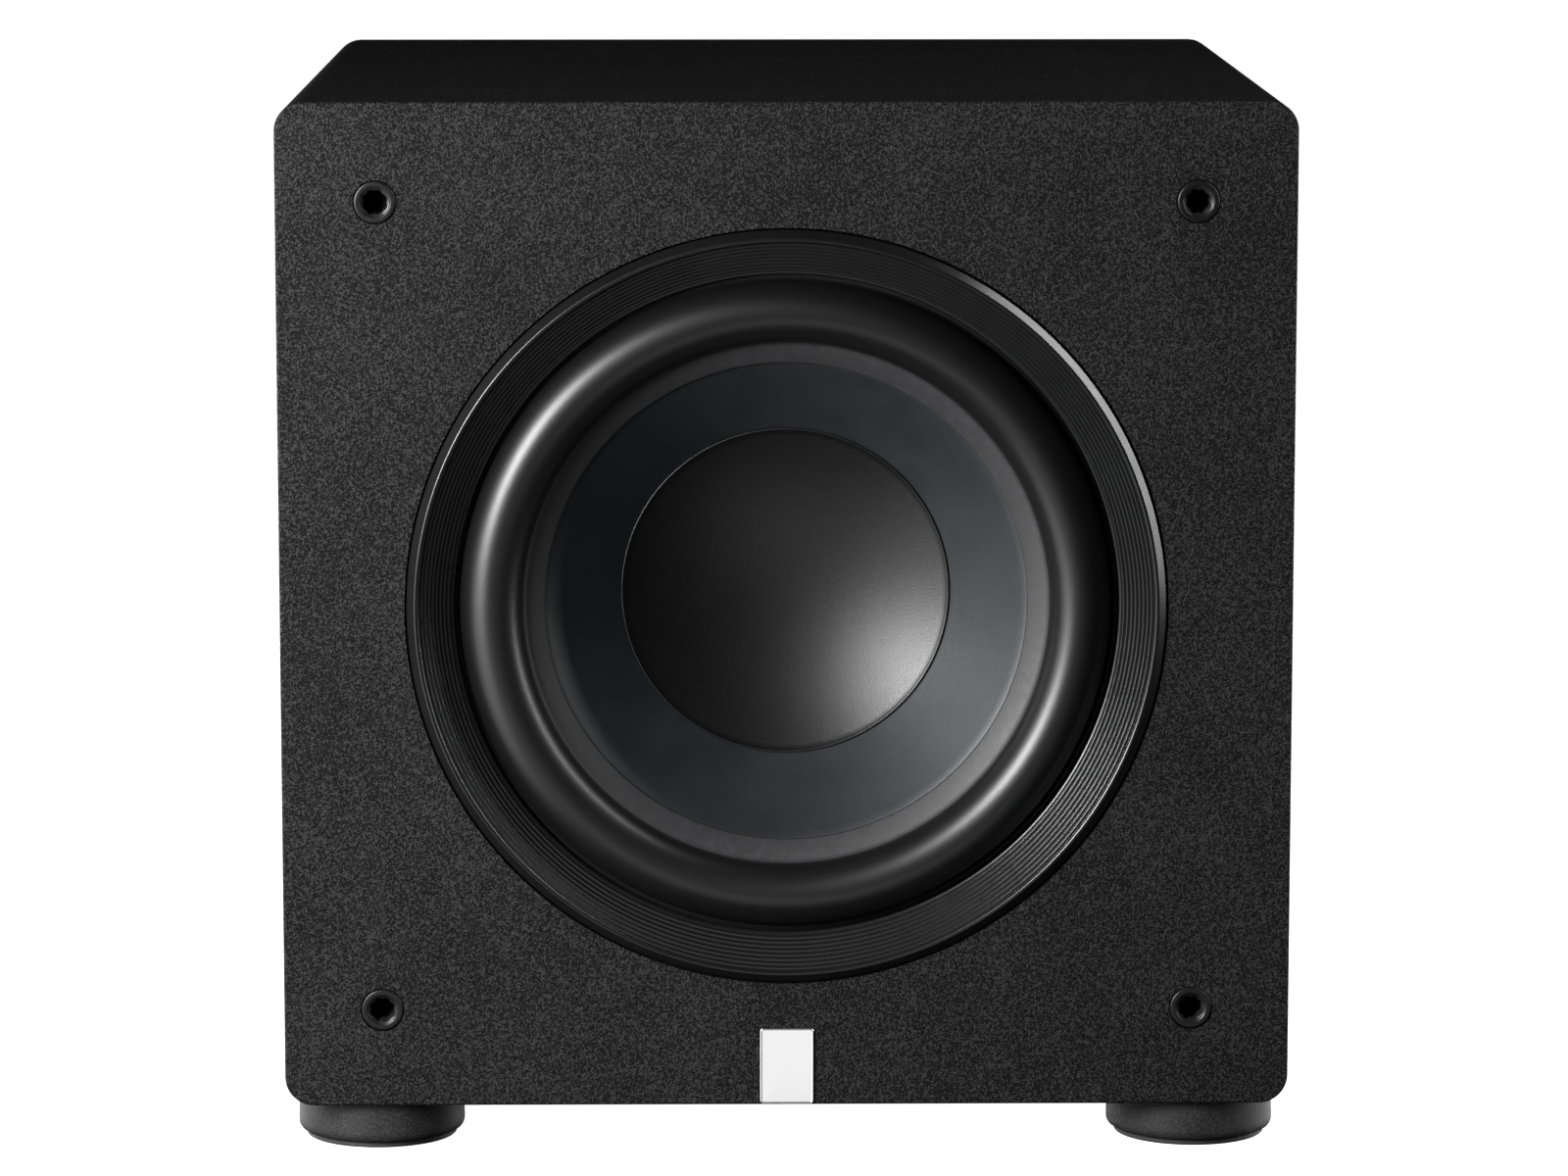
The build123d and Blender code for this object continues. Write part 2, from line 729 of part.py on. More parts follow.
with BuildPart() as dust_cap:
    cap_edge_depth = cone_front(cap_radius) - cap_thickness
    cap_sphere = (cap_radius**2 + cap_sag**2) / (2 * cap_sag)
    half_radius = cap_radius / 2
    half_depth = cap_edge_depth + cap_sag - cap_sphere + (cap_sphere**2 - half_radius**2) ** 0.5
    with BuildSketch(turning_plane):
        with BuildLine():
            ThreePointArc((0, cap_edge_depth + cap_sag), (half_radius, half_depth),
                          (cap_radius, cap_edge_depth))
            Line((cap_radius, cap_edge_depth), (cap_radius, cap_edge_depth + cap_thickness))
            ThreePointArc((cap_radius, cap_edge_depth + cap_thickness),
                          (half_radius, half_depth + cap_thickness),
                          (0, cap_edge_depth + cap_sag + cap_thickness))
            Line((0, cap_edge_depth + cap_sag + cap_thickness), (0, cap_edge_depth + cap_sag))
        make_face()
    revolve(axis=woofer_axis)

with BuildPart() as voice_coil_former:
    former_front = neck_depth - former_proud
    round_ring(former_radius, former_radius - former_wall, former_front,
               magnet_front + former_reach - former_front)

winding_middle = plate_depth + plate_thickness / 2
with BuildPart() as voice_coil:
    round_ring(winding_radius, former_radius,
               winding_middle - winding_length / 2, winding_length)

with BuildPart() as spider:
    spider_depth = landing_depth - spider_thickness
    spider_outer = landing_inner + spider_glue_width
    spider_wave_inner = former_radius + spider_collar
    spider_wave_outer = landing_inner - spider_margin
    wave_pitch = (spider_wave_outer - spider_wave_inner) / spider_waves
    with BuildSketch(turning_plane):
        with BuildLine():
            for side_depth in (spider_depth, landing_depth):
                Line((former_radius, side_depth), (spider_wave_inner, side_depth))
                Line((spider_wave_outer, side_depth), (spider_outer, side_depth))
                for wave in range(spider_waves):
                    start = spider_wave_inner + wave * wave_pitch
                    rise = spider_wave_height if wave % 2 else -spider_wave_height
                    ThreePointArc((start, side_depth), (start + wave_pitch / 2, side_depth + rise),
                                  (start + wave_pitch, side_depth))
            for side_radius in (former_radius, spider_outer):
                Line((side_radius, spider_depth), (side_radius, landing_depth))
        make_face()
    revolve(axis=woofer_axis)

# ================================ woofer: motor ===================================================
with BuildPart() as top_plate:
    round_ring(plate_radius, winding_radius + coil_clearance, plate_depth, plate_thickness)

with BuildPart() as magnets:
    round_ring(magnet_radius, magnet_bore, magnet_front, magnet_thickness)
    round_ring(magnet_radius, magnet_bore, magnet_front + magnet_thickness + glue_line,
               magnet_thickness)

with BuildPart() as pole_yoke:
    pole_radius = former_radius - former_wall - pole_clearance
    turned([
        (pole_vent_radius, plate_depth), (pole_radius, plate_depth), (pole_radius, yoke_front),
        (plate_radius, yoke_front), (plate_radius, boot_back),
        (pole_vent_radius, boot_back),
    ])

with BuildPart() as magnet_boot:
    boot_inner = magnet_radius + motor_clearance
    boot_outer = boot_inner + boot_wall
    boot_front = magnet_front + boot_front_gap
    turned([
        (boot_inner, boot_front), (boot_outer, boot_front), (boot_outer, boot_back + boot_wall),
        (plate_radius - boot_lip, boot_back + boot_wall), (plate_radius - boot_lip, boot_back),
        (boot_inner, boot_back),
    ])

# ================================ woofer: terminals and leads =======================================
terminal_z = axis_z - terminal_reach - terminal_drop
terminal_places = [(-terminal_spacing / 2, terminal_z), (terminal_spacing / 2, terminal_z)]
with BuildPart() as terminal_board:
    board_reach = terminal_pad_height - terminal_board_inset
    block(0, axis_z - terminal_reach - terminal_board_inset - board_reach / 2, terminal_pad_width,
          board_reach, terminal_pad_back, terminal_board_thickness)

with BuildPart() as woofer_terminals:
    tab_root = terminal_pad_back + terminal_board_thickness
    for x, z in terminal_places:
        block(x, z, tab_width, tab_width, tab_root, tab_thickness)
        block(x, z, tab_width, tab_thickness, tab_root, tab_length)

# Each lead's points run from the cone or the terminals backwards: (x, depth, height).
tinsel_points = [(11.0, 60.4, 145.0), (11.0, 69.0, 135.0), (11.0, 73.0, 119.0),
                 (11.0, 70.5, 103.0), (11.0, 65.0, 91.2)]
with BuildPart() as tinsel_leads:
    for side in (-1, 1):
        tube([(side * x, front_y + depth, z) for x, depth, z in tinsel_points], tinsel_radius)

speaker_lead_points = [(11.0, 69.2, 87.0), (10.0, 104.0, 83.0), (12.0, 152.0, 95.0),
                       (8.0, 204.0, 113.0), (3.0, 258.0, 121.0), (2.2, 316.0, 121.0)]
with BuildPart() as speaker_leads:
    for side in (-1, 1):
        tube([(side * x, front_y + depth, z) for x, depth, z in speaker_lead_points], lead_radius)

# ================================ amplifier plate, tub and heat sink =================================
tub_width = opening_width - 2 * tub_clearance
tub_height = opening_height - 2 * tub_clearance
tub_front = plate_front - tub_depth
lead_gate = (0, speaker_lead_points[-1][2])
lead_gate_radius = speaker_lead_points[-1][0] + lead_radius + lead_gate_clearance
with BuildPart() as amp_tub:
    block(0, middle_z, tub_width, tub_height, tub_front, tub_depth)
    fillet(amp_tub.edges().filter_by(Axis.Y), tub_corner)
    offset(amount=-tub_wall, openings=amp_tub.faces().sort_by(Axis.Y)[-1])
    drilled([lead_gate], lead_gate_radius, tub_front, tub_wall)


def amp_outline():
    """Add the amplifier plate's rounded outline to a sketch."""
    with Locations((0, middle_z)):
        RectangleRounded(amp_width, amp_height, amp_corner)


with BuildPart() as amp_gasket:
    with BuildSketch(upright(cabinet_depth)):
        amp_outline()
        with Locations((0, middle_z)):
            Rectangle(opening_width, opening_height, mode=Mode.SUBTRACT)
    extrude(amount=-amp_gasket_thickness)
    drilled(amp_screw_places, amp_screw_radius + screw_clearance, cabinet_depth, amp_gasket_thickness)

rocker_opening_width = rocker_width + 2 * moving_gap
rocker_sweep = (rocker_half_length**2 + rocker_height**2) ** 0.5
rocker_opening_height = 2 * (rocker_sweep + rocker_end_gap)
rocker_body_width = rocker_opening_width + 2 * rocker_frame_wall
rocker_body_height = rocker_opening_height + 2 * rocker_frame_wall
inlet_body_width = inlet_width - 2 * inlet_step
inlet_body_height = inlet_height - 2 * inlet_step
slot_width = lever_width + lever_travel + 2 * moving_gap
slot_height = lever_height + 2 * moving_gap
with BuildPart() as amp_plate:
    with BuildSketch(upright(plate_front)):
        amp_outline()
    extrude(amount=-amp_plate_thickness)
    fillet(amp_plate.faces().sort_by(Axis.Y)[-1].edges(), amp_plate_rounding)
    drilled(amp_screw_places, amp_screw_radius + screw_clearance, plate_front, amp_plate_thickness)
    drilled(sink_screw_places, amp_screw_radius, plate_front, amp_plate_thickness)
    drilled(pot_places, bushing_radius, plate_front, amp_plate_thickness)
    drilled(rca_places, rca_collar_radius, plate_front, amp_plate_thickness)
    drilled([(led_x, controls_z)], led_radius, plate_front, amp_plate_thickness)
    for x in (phase_x, mode_x):
        block(x, controls_z, slot_width, slot_height, plate_front, amp_plate_thickness, Mode.SUBTRACT)
    block(rocker_x, rocker_z, rocker_body_width, rocker_body_height, plate_front, amp_plate_thickness,
          Mode.SUBTRACT)
    block(inlet_x, inlet_z, inlet_body_width, inlet_body_height, plate_front, amp_plate_thickness,
          Mode.SUBTRACT)

with BuildPart() as heat_sink:
    with BuildSketch(Plane.XY.offset(sink_z - sink_height / 2)):
        with Locations((0, front_y + plate_back + sink_base / 2)):
            Rectangle(sink_width, sink_base)
        with Locations((0, front_y + plate_back + sink_proud / 2)):
            with GridLocations(fin_pitch, 1, fin_count, 1):
                Rectangle(fin_thickness, sink_proud)
    extrude(amount=sink_height)
    fillet(heat_sink.edges().filter_by(Axis.Z).group_by(Axis.Y)[-1], fin_rounding)
    drilled(sink_screw_places, amp_screw_radius + screw_clearance, plate_back, sink_base)

with BuildPart() as amp_screws:
    for places, head_seat, shank in (
        (amp_screw_places, plate_back, amp_screw_length),
        (sink_screw_places, plate_back + sink_base, sink_base + amp_plate_thickness),
    ):
        post(places, amp_screw_head_radius, head_seat, amp_screw_head_height)
        post(places, amp_screw_radius, head_seat - shank, shank)
        drilled(places, drive_radius, head_seat + amp_screw_head_height - drive_depth, drive_depth)
        head_rims = amp_screws.edges().filter_by(GeomType.CIRCLE).filter_by(
            lambda edge: edge.radius > (drive_radius + amp_screw_head_radius) / 2)
        fillet(head_rims.group_by(Axis.Y)[-1], amp_screw_dome)

# ================================ controls =========================================================
control_front = plate_front - control_depth
bushing_back = plate_back + bushing_proud
with BuildPart() as pot_bodies:
    post(pot_places, pot_radius, control_front, control_depth)
    post(pot_places, bushing_radius, plate_front, bushing_back - plate_front)
    bore_front = control_front + pot_back_wall
    drilled(pot_places, shaft_radius + shaft_fit, bore_front, bushing_back - bore_front)

with BuildPart() as pot_nuts:
    with BuildSketch(upright(plate_back)):
        with Locations(*pot_places):
            RegularPolygon(bushing_radius + nut_wall, 6, major_radius=False)
            Circle(bushing_radius, mode=Mode.SUBTRACT)
    extrude(amount=-nut_thickness)

knob_front = bushing_back + knob_gap
knob_back = knob_front + knob_height
shaft_front = bore_front + shaft_end_play
shaft_back = plate_back + shaft_proud
shafts = {}
knobs = {}
for control, x in (("volume", volume_x), ("crossover", crossover_x)):
    with BuildPart() as shaft:
        post([(x, controls_z)], shaft_radius, shaft_front, shaft_back - shaft_front)
        chamfer(shaft.edges().group_by(Axis.Y)[-1], shaft_chamfer)
    with BuildPart() as knob:
        with BuildSketch(upright(knob_front)):
            with Locations((x, controls_z)):
                Circle(knob_radius)
        extrude(amount=-knob_height)
        fillet(knob.edges().group_by(Axis.Y)[-1], knob_rounding)
        with BuildSketch(upright(knob_front)):
            with Locations((x, controls_z)):
                with PolarLocations(knob_radius + knob_grip_radius - knob_grip_sink, knob_grip_count,
                                    start_angle=180 / knob_grip_count):
                    Circle(knob_grip_radius)
        extrude(amount=-(knob_height - knob_grip_margin), mode=Mode.SUBTRACT)
        drilled([(x, controls_z)], shaft_radius, knob_front, shaft_back - knob_front)
        pointer_z = controls_z + knob_radius - knob_pointer_inset - knob_pointer_length / 2
        block(x, pointer_z, knob_pointer_width, knob_pointer_length,
              knob_back - knob_pointer_depth, knob_pointer_depth, Mode.SUBTRACT)
    shafts[control] = shaft
    knobs[control] = knob

with BuildPart() as switch_bodies:
    for x in (phase_x, mode_x):
        block(x, controls_z, switch_width, switch_height, control_front, control_depth)
        block(x, controls_z, slot_width, slot_height, plate_front - lever_root - moving_gap,
              lever_root + moving_gap, Mode.SUBTRACT)

levers = {}
for switch, x in (("phase", phase_x), ("mode", mode_x)):
    with BuildPart() as lever:
        block(x - lever_travel / 2, controls_z, lever_width, lever_height, plate_front - lever_root,
              lever_root + amp_plate_thickness + lever_proud)
        fillet(lever.edges().group_by(Axis.Y)[-1], lever_rounding)
    levers[switch] = lever

with BuildPart() as led_lens:
    post([(led_x, controls_z)], led_radius, plate_back - led_length, led_length)
    post([(led_x, controls_z)], led_radius + led_flange, plate_back, led_flange)
    fillet(led_lens.edges().group_by(Axis.Y)[-1], led_flange / 2)

rocker_pivot_depth = plate_back + rocker_pivot_lift
with BuildPart() as rocker_frame:
    block(rocker_x, rocker_z, rocker_body_width + 2 * bezel_rim, rocker_body_height + 2 * bezel_rim,
          plate_back, bezel_thickness)
    fillet(rocker_frame.faces().sort_by(Axis.Y)[-1].edges(), bezel_rounding)
    block(rocker_x, rocker_z, rocker_body_width, rocker_body_height,
          plate_back - rocker_frame_depth, rocker_frame_depth)
    block(rocker_x, rocker_z, rocker_opening_width, rocker_opening_height,
          plate_back - rocker_frame_depth + rocker_frame_wall,
          rocker_frame_depth + bezel_thickness - rocker_frame_wall, Mode.SUBTRACT)
    pivot_plane = Plane(origin=(rocker_x, front_y + rocker_pivot_depth, rocker_z), z_dir=(1, 0, 0))
    with BuildSketch(pivot_plane):
        Circle(rocker_pin_radius + shaft_fit)
    extrude(amount=rocker_body_width / 2 - rocker_pin_wall, both=True, mode=Mode.SUBTRACT)

with BuildPart() as power_rocker:
    # The profile is drawn on the pivot with its x outwards and its y up, tilted into its off place.
    profile_plane = Plane(
        origin=(rocker_x, front_y + rocker_pivot_depth, rocker_z),
        x_dir=(0, cos(radians(rocker_tilt)), sin(radians(rocker_tilt))), z_dir=(1, 0, 0))
    with BuildSketch(profile_plane):
        with BuildLine():
            Polyline((-rocker_root, -rocker_root_half), (0, -rocker_half_length),
                     (rocker_height, -rocker_half_length), (rocker_height - rocker_dip, 0),
                     (rocker_height, rocker_half_length), (0, rocker_half_length),
                     (-rocker_root, rocker_root_half), close=True)
        make_face()
    extrude(amount=rocker_width / 2, both=True)
    fillet(power_rocker.edges().filter_by(Axis.X).sort_by(Axis.Y)[-2:], rocker_rounding)
    with BuildSketch(profile_plane):
        Circle(rocker_pin_radius)
    extrude(amount=rocker_opening_width / 2 + rocker_pin_reach, both=True)

# ================================ mains inlet and fuse ===============================================
inlet_back = plate_back + inlet_flange
cavity_z = inlet_z + inlet_cavity_up
drawer_z = inlet_z - drawer_down
pin_places = [(inlet_x - pin_spacing, cavity_z - pin_earth_up), (inlet_x, cavity_z + pin_earth_up),
              (inlet_x + pin_spacing, cavity_z - pin_earth_up)]
with BuildPart() as inlet_housing:
    block(inlet_x, inlet_z, inlet_width, inlet_height, plate_back, inlet_flange)
    fillet(inlet_housing.edges().filter_by(Axis.Y), inlet_step)
    fillet(inlet_housing.faces().sort_by(Axis.Y)[-1].edges(), inlet_rounding)
    block(inlet_x, inlet_z, inlet_body_width, inlet_body_height, plate_back - inlet_body_depth,
          inlet_body_depth)
    with BuildSketch(upright(inlet_back - inlet_cavity_depth)):
        with Locations((inlet_x, cavity_z)):
            cavity = Rectangle(inlet_cavity_width, inlet_cavity_height)
        chamfer(cavity.vertices().group_by(Axis.Y)[-1], inlet_cavity_bevel)
    extrude(amount=-inlet_cavity_depth, mode=Mode.SUBTRACT)
    block(inlet_x, drawer_z, drawer_width + 2 * drawer_gap, drawer_height + 2 * drawer_gap,
          inlet_back - drawer_depth - drawer_gap, drawer_depth + drawer_gap, Mode.SUBTRACT)
    for x, z in pin_places:
        block(x, z, pin_width, pin_height, plate_back - inlet_body_depth, inlet_body_depth, Mode.SUBTRACT)

with BuildPart() as inlet_pins:
    pin_front = plate_back - inlet_body_depth - pin_tail
    for x, z in pin_places:
        block(x, z, pin_width, pin_height, pin_front, inlet_back - pin_recess - pin_front)

with BuildPart() as fuse_drawer:
    block(inlet_x, drawer_z, drawer_width, drawer_height, inlet_back - drawer_depth, drawer_depth)
    block(inlet_x, drawer_z + drawer_height / 2 - drawer_lip_height / 2, drawer_width, drawer_lip_height,
          inlet_back, drawer_lip)
    fillet(fuse_drawer.edges().group_by(Axis.Y)[-1], drawer_rounding)
    pocket = 2 * (fuse_radius + fuse_play)
    pocket_middle = inlet_back - drawer_depth + drawer_wall + pocket_setback + pocket / 2
    block(inlet_x, drawer_z + drawer_wall, fuse_length + 2 * fuse_play, drawer_height,
          pocket_middle - pocket / 2, pocket, Mode.SUBTRACT)

with BuildPart() as fuse:
    fuse_z = drawer_z - drawer_height / 2 + drawer_wall + fuse_radius
    with BuildSketch(Plane(origin=(inlet_x, front_y + pocket_middle, fuse_z), z_dir=(1, 0, 0))):
        Circle(fuse_radius)
    extrude(amount=fuse_length / 2, both=True)

# ================================ signal sockets =====================================================
rca_front = plate_front - rca_block_depth
rca_collar_back = plate_back + rca_collar_proud
rca_shell_back = rca_collar_back + rca_shell_length
rca_seat = rca_collar_back - rca_spigot_length
with BuildPart() as rca_housing:
    block(rca_x, rca_z, rca_block_width, rca_block_height, rca_front, rca_block_depth)
    post(rca_places, rca_collar_radius, plate_front, rca_collar_back - plate_front)
    drilled(rca_places, rca_spigot_radius, rca_seat, rca_spigot_length)
    post(rca_places, rca_shell_inner, rca_seat, rca_shell_back - rca_core_setback - rca_seat)
    drilled(rca_places, rca_contact_radius, rca_seat, rca_shell_back - rca_seat)

with BuildPart() as rca_shells:
    post(rca_places, rca_spigot_radius, rca_seat, rca_spigot_length)
    post(rca_places, rca_shell_radius, rca_collar_back, rca_shell_length)
    drilled(rca_places, rca_shell_inner, rca_seat, rca_shell_back - rca_seat)
    for contact_wall, mode in ((rca_contact_radius, Mode.ADD), (rca_contact_inner, Mode.SUBTRACT)):
        with BuildSketch(upright(rca_seat)):
            with Locations(*rca_places):
                Circle(contact_wall)
        extrude(amount=-(rca_shell_back - rca_core_setback - rca_seat), mode=mode)

# ================================ boards and what is on them ==========================================
board_back = plate_front - board_standoff
board_front = board_back - board_thickness
with BuildPart() as main_board:
    block(0, middle_z, board_width, board_height, board_front, board_thickness)
    plug_front = speaker_lead_points[-1][1] + lead_end_gap
    block(0, lead_gate[1], lead_plug_width, lead_plug_height, plug_front, board_front - plug_front)
    drilled(spacer_places, spacer_radius / 2, board_front, board_thickness)

with BuildPart() as board_spacers:
    post(spacer_places, spacer_radius, board_back, board_standoff)
    post(spacer_places, spacer_radius / 2, board_front, board_thickness)
    post(spacer_places, spacer_radius, board_front - spacer_head, spacer_head)

with BuildPart() as signal_board:
    block((volume_x + mode_x) / 2, controls_z, signal_board_width, signal_board_height,
          control_front - board_thickness, board_thickness)

with BuildPart() as power_transistors:
    for number in range(transistor_count):
        x = (number - (transistor_count - 1) / 2) * transistor_spacing
        block(x, sink_z, transistor_width, transistor_height, plate_front - transistor_thickness,
              transistor_thickness)

capacitor_z = middle_z + capacitor_up
capacitor_places = [(capacitor_x, capacitor_z + step * capacitor_spacing) for step in (-1, 0, 1)]
with BuildPart() as capacitors:
    post(capacitor_places, capacitor_radius, board_front - capacitor_height, capacitor_height)
    fillet(capacitors.edges().group_by(Axis.Y)[0], capacitor_rounding)

with BuildPart() as transformer:
    core_width, core_height, core_length = transformer_core
    winding_width, winding_height, winding_depth = transformer_winding
    transformer_z = middle_z + transformer_up
    block(transformer_x, transformer_z, winding_width, winding_height,
          board_front - winding_depth, winding_depth)
    block(transformer_x, transformer_z, core_width, core_height,
          board_front - winding_depth / 2 - core_length / 2, core_length)

# ================================ write every piece ====================================================
pieces = {
    "front_baffle": front_baffle, **walls, "rear_panel": rear_panel, "window_brace": window_brace,
    "lining_pads": lining_pads, "foot_bodies": foot_bodies, "foot_pads": foot_pads,
    "foot_screws": foot_screws, "grille_sockets": grille_sockets, "badge": badge,
    "trim_ring": trim_ring, "woofer_frame": woofer_frame, "woofer_gasket": woofer_gasket,
    "woofer_screws": woofer_screws, "surround": surround, "cone": cone, "dust_cap": dust_cap,
    "voice_coil_former": voice_coil_former, "voice_coil": voice_coil, "spider": spider,
    "tinsel_leads": tinsel_leads, "top_plate": top_plate, "magnets": magnets,
    "pole_yoke": pole_yoke, "magnet_boot": magnet_boot, "terminal_board": terminal_board,
    "woofer_terminals": woofer_terminals, "speaker_leads": speaker_leads, "amp_plate": amp_plate,
    "amp_gasket": amp_gasket, "amp_screws": amp_screws, "heat_sink": heat_sink, "amp_tub": amp_tub,
    "main_board": main_board, "board_spacers": board_spacers, "signal_board": signal_board,
    "power_transistors": power_transistors, "capacitors": capacitors, "transformer": transformer,
    "pot_bodies": pot_bodies, "pot_nuts": pot_nuts,
    "volume_knob": knobs["volume"], "volume_shaft": shafts["volume"],
    "crossover_knob": knobs["crossover"], "crossover_shaft": shafts["crossover"],
    "switch_bodies": switch_bodies, "phase_lever": levers["phase"], "mode_lever": levers["mode"],
    "led_lens": led_lens, "rocker_frame": rocker_frame, "power_rocker": power_rocker,
    "inlet_housing": inlet_housing, "inlet_pins": inlet_pins, "fuse_drawer": fuse_drawer,
    "fuse": fuse, "rca_housing": rca_housing, "rca_shells": rca_shells,
}
os.makedirs("parts", exist_ok=True)
for name, piece in pieces.items():
    piece.part.label = name
    export_step(piece.part, f"parts/{name}.step")
print(len(pieces), "pieces; baffle front at y", front_y, "woofer axis at z", axis_z)
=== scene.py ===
import json

import bmesh
import bpy
import numpy as np
from bpy.props import FloatProperty, FloatVectorProperty, IntProperty, PointerProperty
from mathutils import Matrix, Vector


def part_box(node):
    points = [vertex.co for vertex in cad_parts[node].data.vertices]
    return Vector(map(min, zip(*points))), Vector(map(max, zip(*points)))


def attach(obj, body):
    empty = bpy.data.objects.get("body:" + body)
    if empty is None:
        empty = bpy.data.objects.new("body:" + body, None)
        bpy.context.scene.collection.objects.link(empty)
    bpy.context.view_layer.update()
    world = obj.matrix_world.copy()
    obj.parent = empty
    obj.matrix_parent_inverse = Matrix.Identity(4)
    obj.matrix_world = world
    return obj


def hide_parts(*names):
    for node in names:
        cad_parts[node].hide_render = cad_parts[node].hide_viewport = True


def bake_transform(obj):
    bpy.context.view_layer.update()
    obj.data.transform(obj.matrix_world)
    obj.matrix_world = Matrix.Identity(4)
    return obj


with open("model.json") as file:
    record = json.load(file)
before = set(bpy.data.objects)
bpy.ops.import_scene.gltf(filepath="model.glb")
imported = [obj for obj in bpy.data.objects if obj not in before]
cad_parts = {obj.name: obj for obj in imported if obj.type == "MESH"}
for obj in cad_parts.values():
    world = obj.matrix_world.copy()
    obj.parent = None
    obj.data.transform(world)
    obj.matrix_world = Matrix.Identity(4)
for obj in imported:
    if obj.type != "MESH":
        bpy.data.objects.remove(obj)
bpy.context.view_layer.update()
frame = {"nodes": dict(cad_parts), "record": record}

# A powered subwoofer's looks: the vinyl-wrapped cabinet on its feet, the woofer behind its grooved
# trim ring, and the amplifier plate's small parts. Metres, +Z up, the front faces -Y. A "depth" is
# a distance behind the baffle's front face. A turned part's profile is rows of (radius, depth).

bl_info = {
    "name": "Subwoofer Maker",
    "version": (1, 0, 0),
    "blender": (4, 5, 0),
    "location": "View3D > Sidebar > Subwoofer",
    "description": "Makes a powered subwoofer's cabinet, woofer and amplifier parts one by one",
    "category": "Add Mesh",
}

MM = 0.001


def low(node):
    """A CAD node's lowest corner."""
    return np.array(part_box(node)[0])


def high(node):
    """A CAD node's highest corner."""
    return np.array(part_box(node)[1])


def middle(node):
    """The middle of a CAD node's box."""
    return (low(node) + high(node)) / 2


def reach(node):
    """Half of a CAD node's width, which is a turned part's largest radius."""
    return float(high(node)[0] - low(node)[0]) / 2


FRONT = float(low("front_baffle")[1])
BACK = float(high("rear_panel")[1])
PLATE = float(high("amp_plate")[1])
AXIS = np.array([0.0, 0.0, middle("trim_ring")[2]])
NECK = 25.9 * MM


# ============================== sizes and colours that a user would change ======================
def colour_setting(name, description, default):
    """A colour setting."""
    return FloatVectorProperty(name=name, description=description, subtype="COLOR", default=default,
                               min=0, max=1)


def length_setting(name, description, default):
    """A setting in metres."""
    return FloatProperty(name=name, description=description, unit="LENGTH", default=default)


class CabinetSettings(bpy.types.PropertyGroup):
    """The wrapped box, its feet and what is let into its front."""

    vinyl: colour_setting("Vinyl", "Colour of the textured wrap", (0.002, 0.002, 0.0021))
    grain: length_setting("Grain", "Distance from one pebble of the wrap to the next", 1.0 * MM)
    corner: length_setting("Corner", "Radius of the cabinet's four long edges", 10 * MM)
    wall: length_setting("Wall", "Thickness of the side walls",
                         float(high("top_panel")[2] - high("rear_panel")[2]))
    foot_colour: colour_setting("Foot", "Colour of the moulded feet", (0.012, 0.012, 0.012))
    foot_rounding: length_setting("Foot rounding", "Radius of a foot's lower edge", 2.5 * MM)
    socket_lobes: IntProperty(
        name="Socket lobes", description="Gripping lobes round a grille socket's hole", default=8)
    badge_colour: colour_setting("Badge", "Colour of the plain metal badge", (0.97, 0.97, 0.97))
    badge_bevel: length_setting("Badge bevel", "Width of the badge's bright cut edge", 0.25 * MM)


class WooferSettings(bpy.types.PropertyGroup):
    """The 10-inch driver and its trim ring."""

    ring_bevel: length_setting("Ring bevel", "Width of the trim ring's glossy outer slope", 2.74 * MM)
    groove_count: IntProperty(
        name="Grooves", description="Turned grooves inside the trim ring", default=9)
    groove_rounding: length_setting("Groove rounding", "Rounding of each turned edge", 0.5 * MM)
    ring_colour: colour_setting("Ring", "Colour of the moulded trim ring", (0.004, 0.004, 0.0043))
    roll_width: length_setting("Roll width", "Width of the surround's half roll", 21.5 * MM)
    rubber: colour_setting("Rubber", "Colour of the surround", (0.003, 0.003, 0.0032))
    cone_colour: colour_setting("Cone", "Colour of the coated cone", (0.011, 0.0122, 0.015))
    cap_colour: colour_setting("Dust cap", "Colour of the dished cap", (0.0018, 0.0018, 0.0019))
    cap_sag: length_setting("Cap dish", "How far the dust cap dips in its middle", 14 * MM)
    spider_waves: IntProperty(
        name="Spider waves", description="Pressed waves in the spider", default=6)


class AmplifierSettings(bpy.types.PropertyGroup):
    """What a hand meets on the back."""

    plate_colour: colour_setting("Plate", "Colour of the powder-coated plate", (0.02, 0.02, 0.021))
    mark_colour: colour_setting("Marks", "Colour of the printed marks", (0.72, 0.72, 0.7))
    mark_count: IntProperty(
        name="Dial marks", description="Marks in the arc round each knob", default=11)
    knob_flutes: IntProperty(
        name="Knob flutes", description="Grip flutes round a knob", default=24)
    screw_dome: length_setting("Screw dome", "Height of a screw head's dome", 2.2 * MM)


class StudioSettings(bpy.types.PropertyGroup):
    """The camera, the floor and the lights."""

    lens: FloatProperty(
        name="Lens", description="Focal length on a 36 mm sensor", unit="CAMERA", default=140.3)
    distance: length_setting("Distance", "From the camera to the baffle's plane", 2.072)
    height: length_setting("Height", "Height of the camera above the floor", 0.508)
    side: length_setting("Side", "How far the camera stands to the right", -0.028)
    light: FloatProperty(
        name="Light", description="Share of full power for every softbox", subtype="FACTOR",
        default=1.0, min=0, max=4)
    floor_size: length_setting("Floor", "Width of the floor", 80.0)


# ============================== shapes ===========================================================
LONGEST_CUT = 0.4
GUARD = 1.22


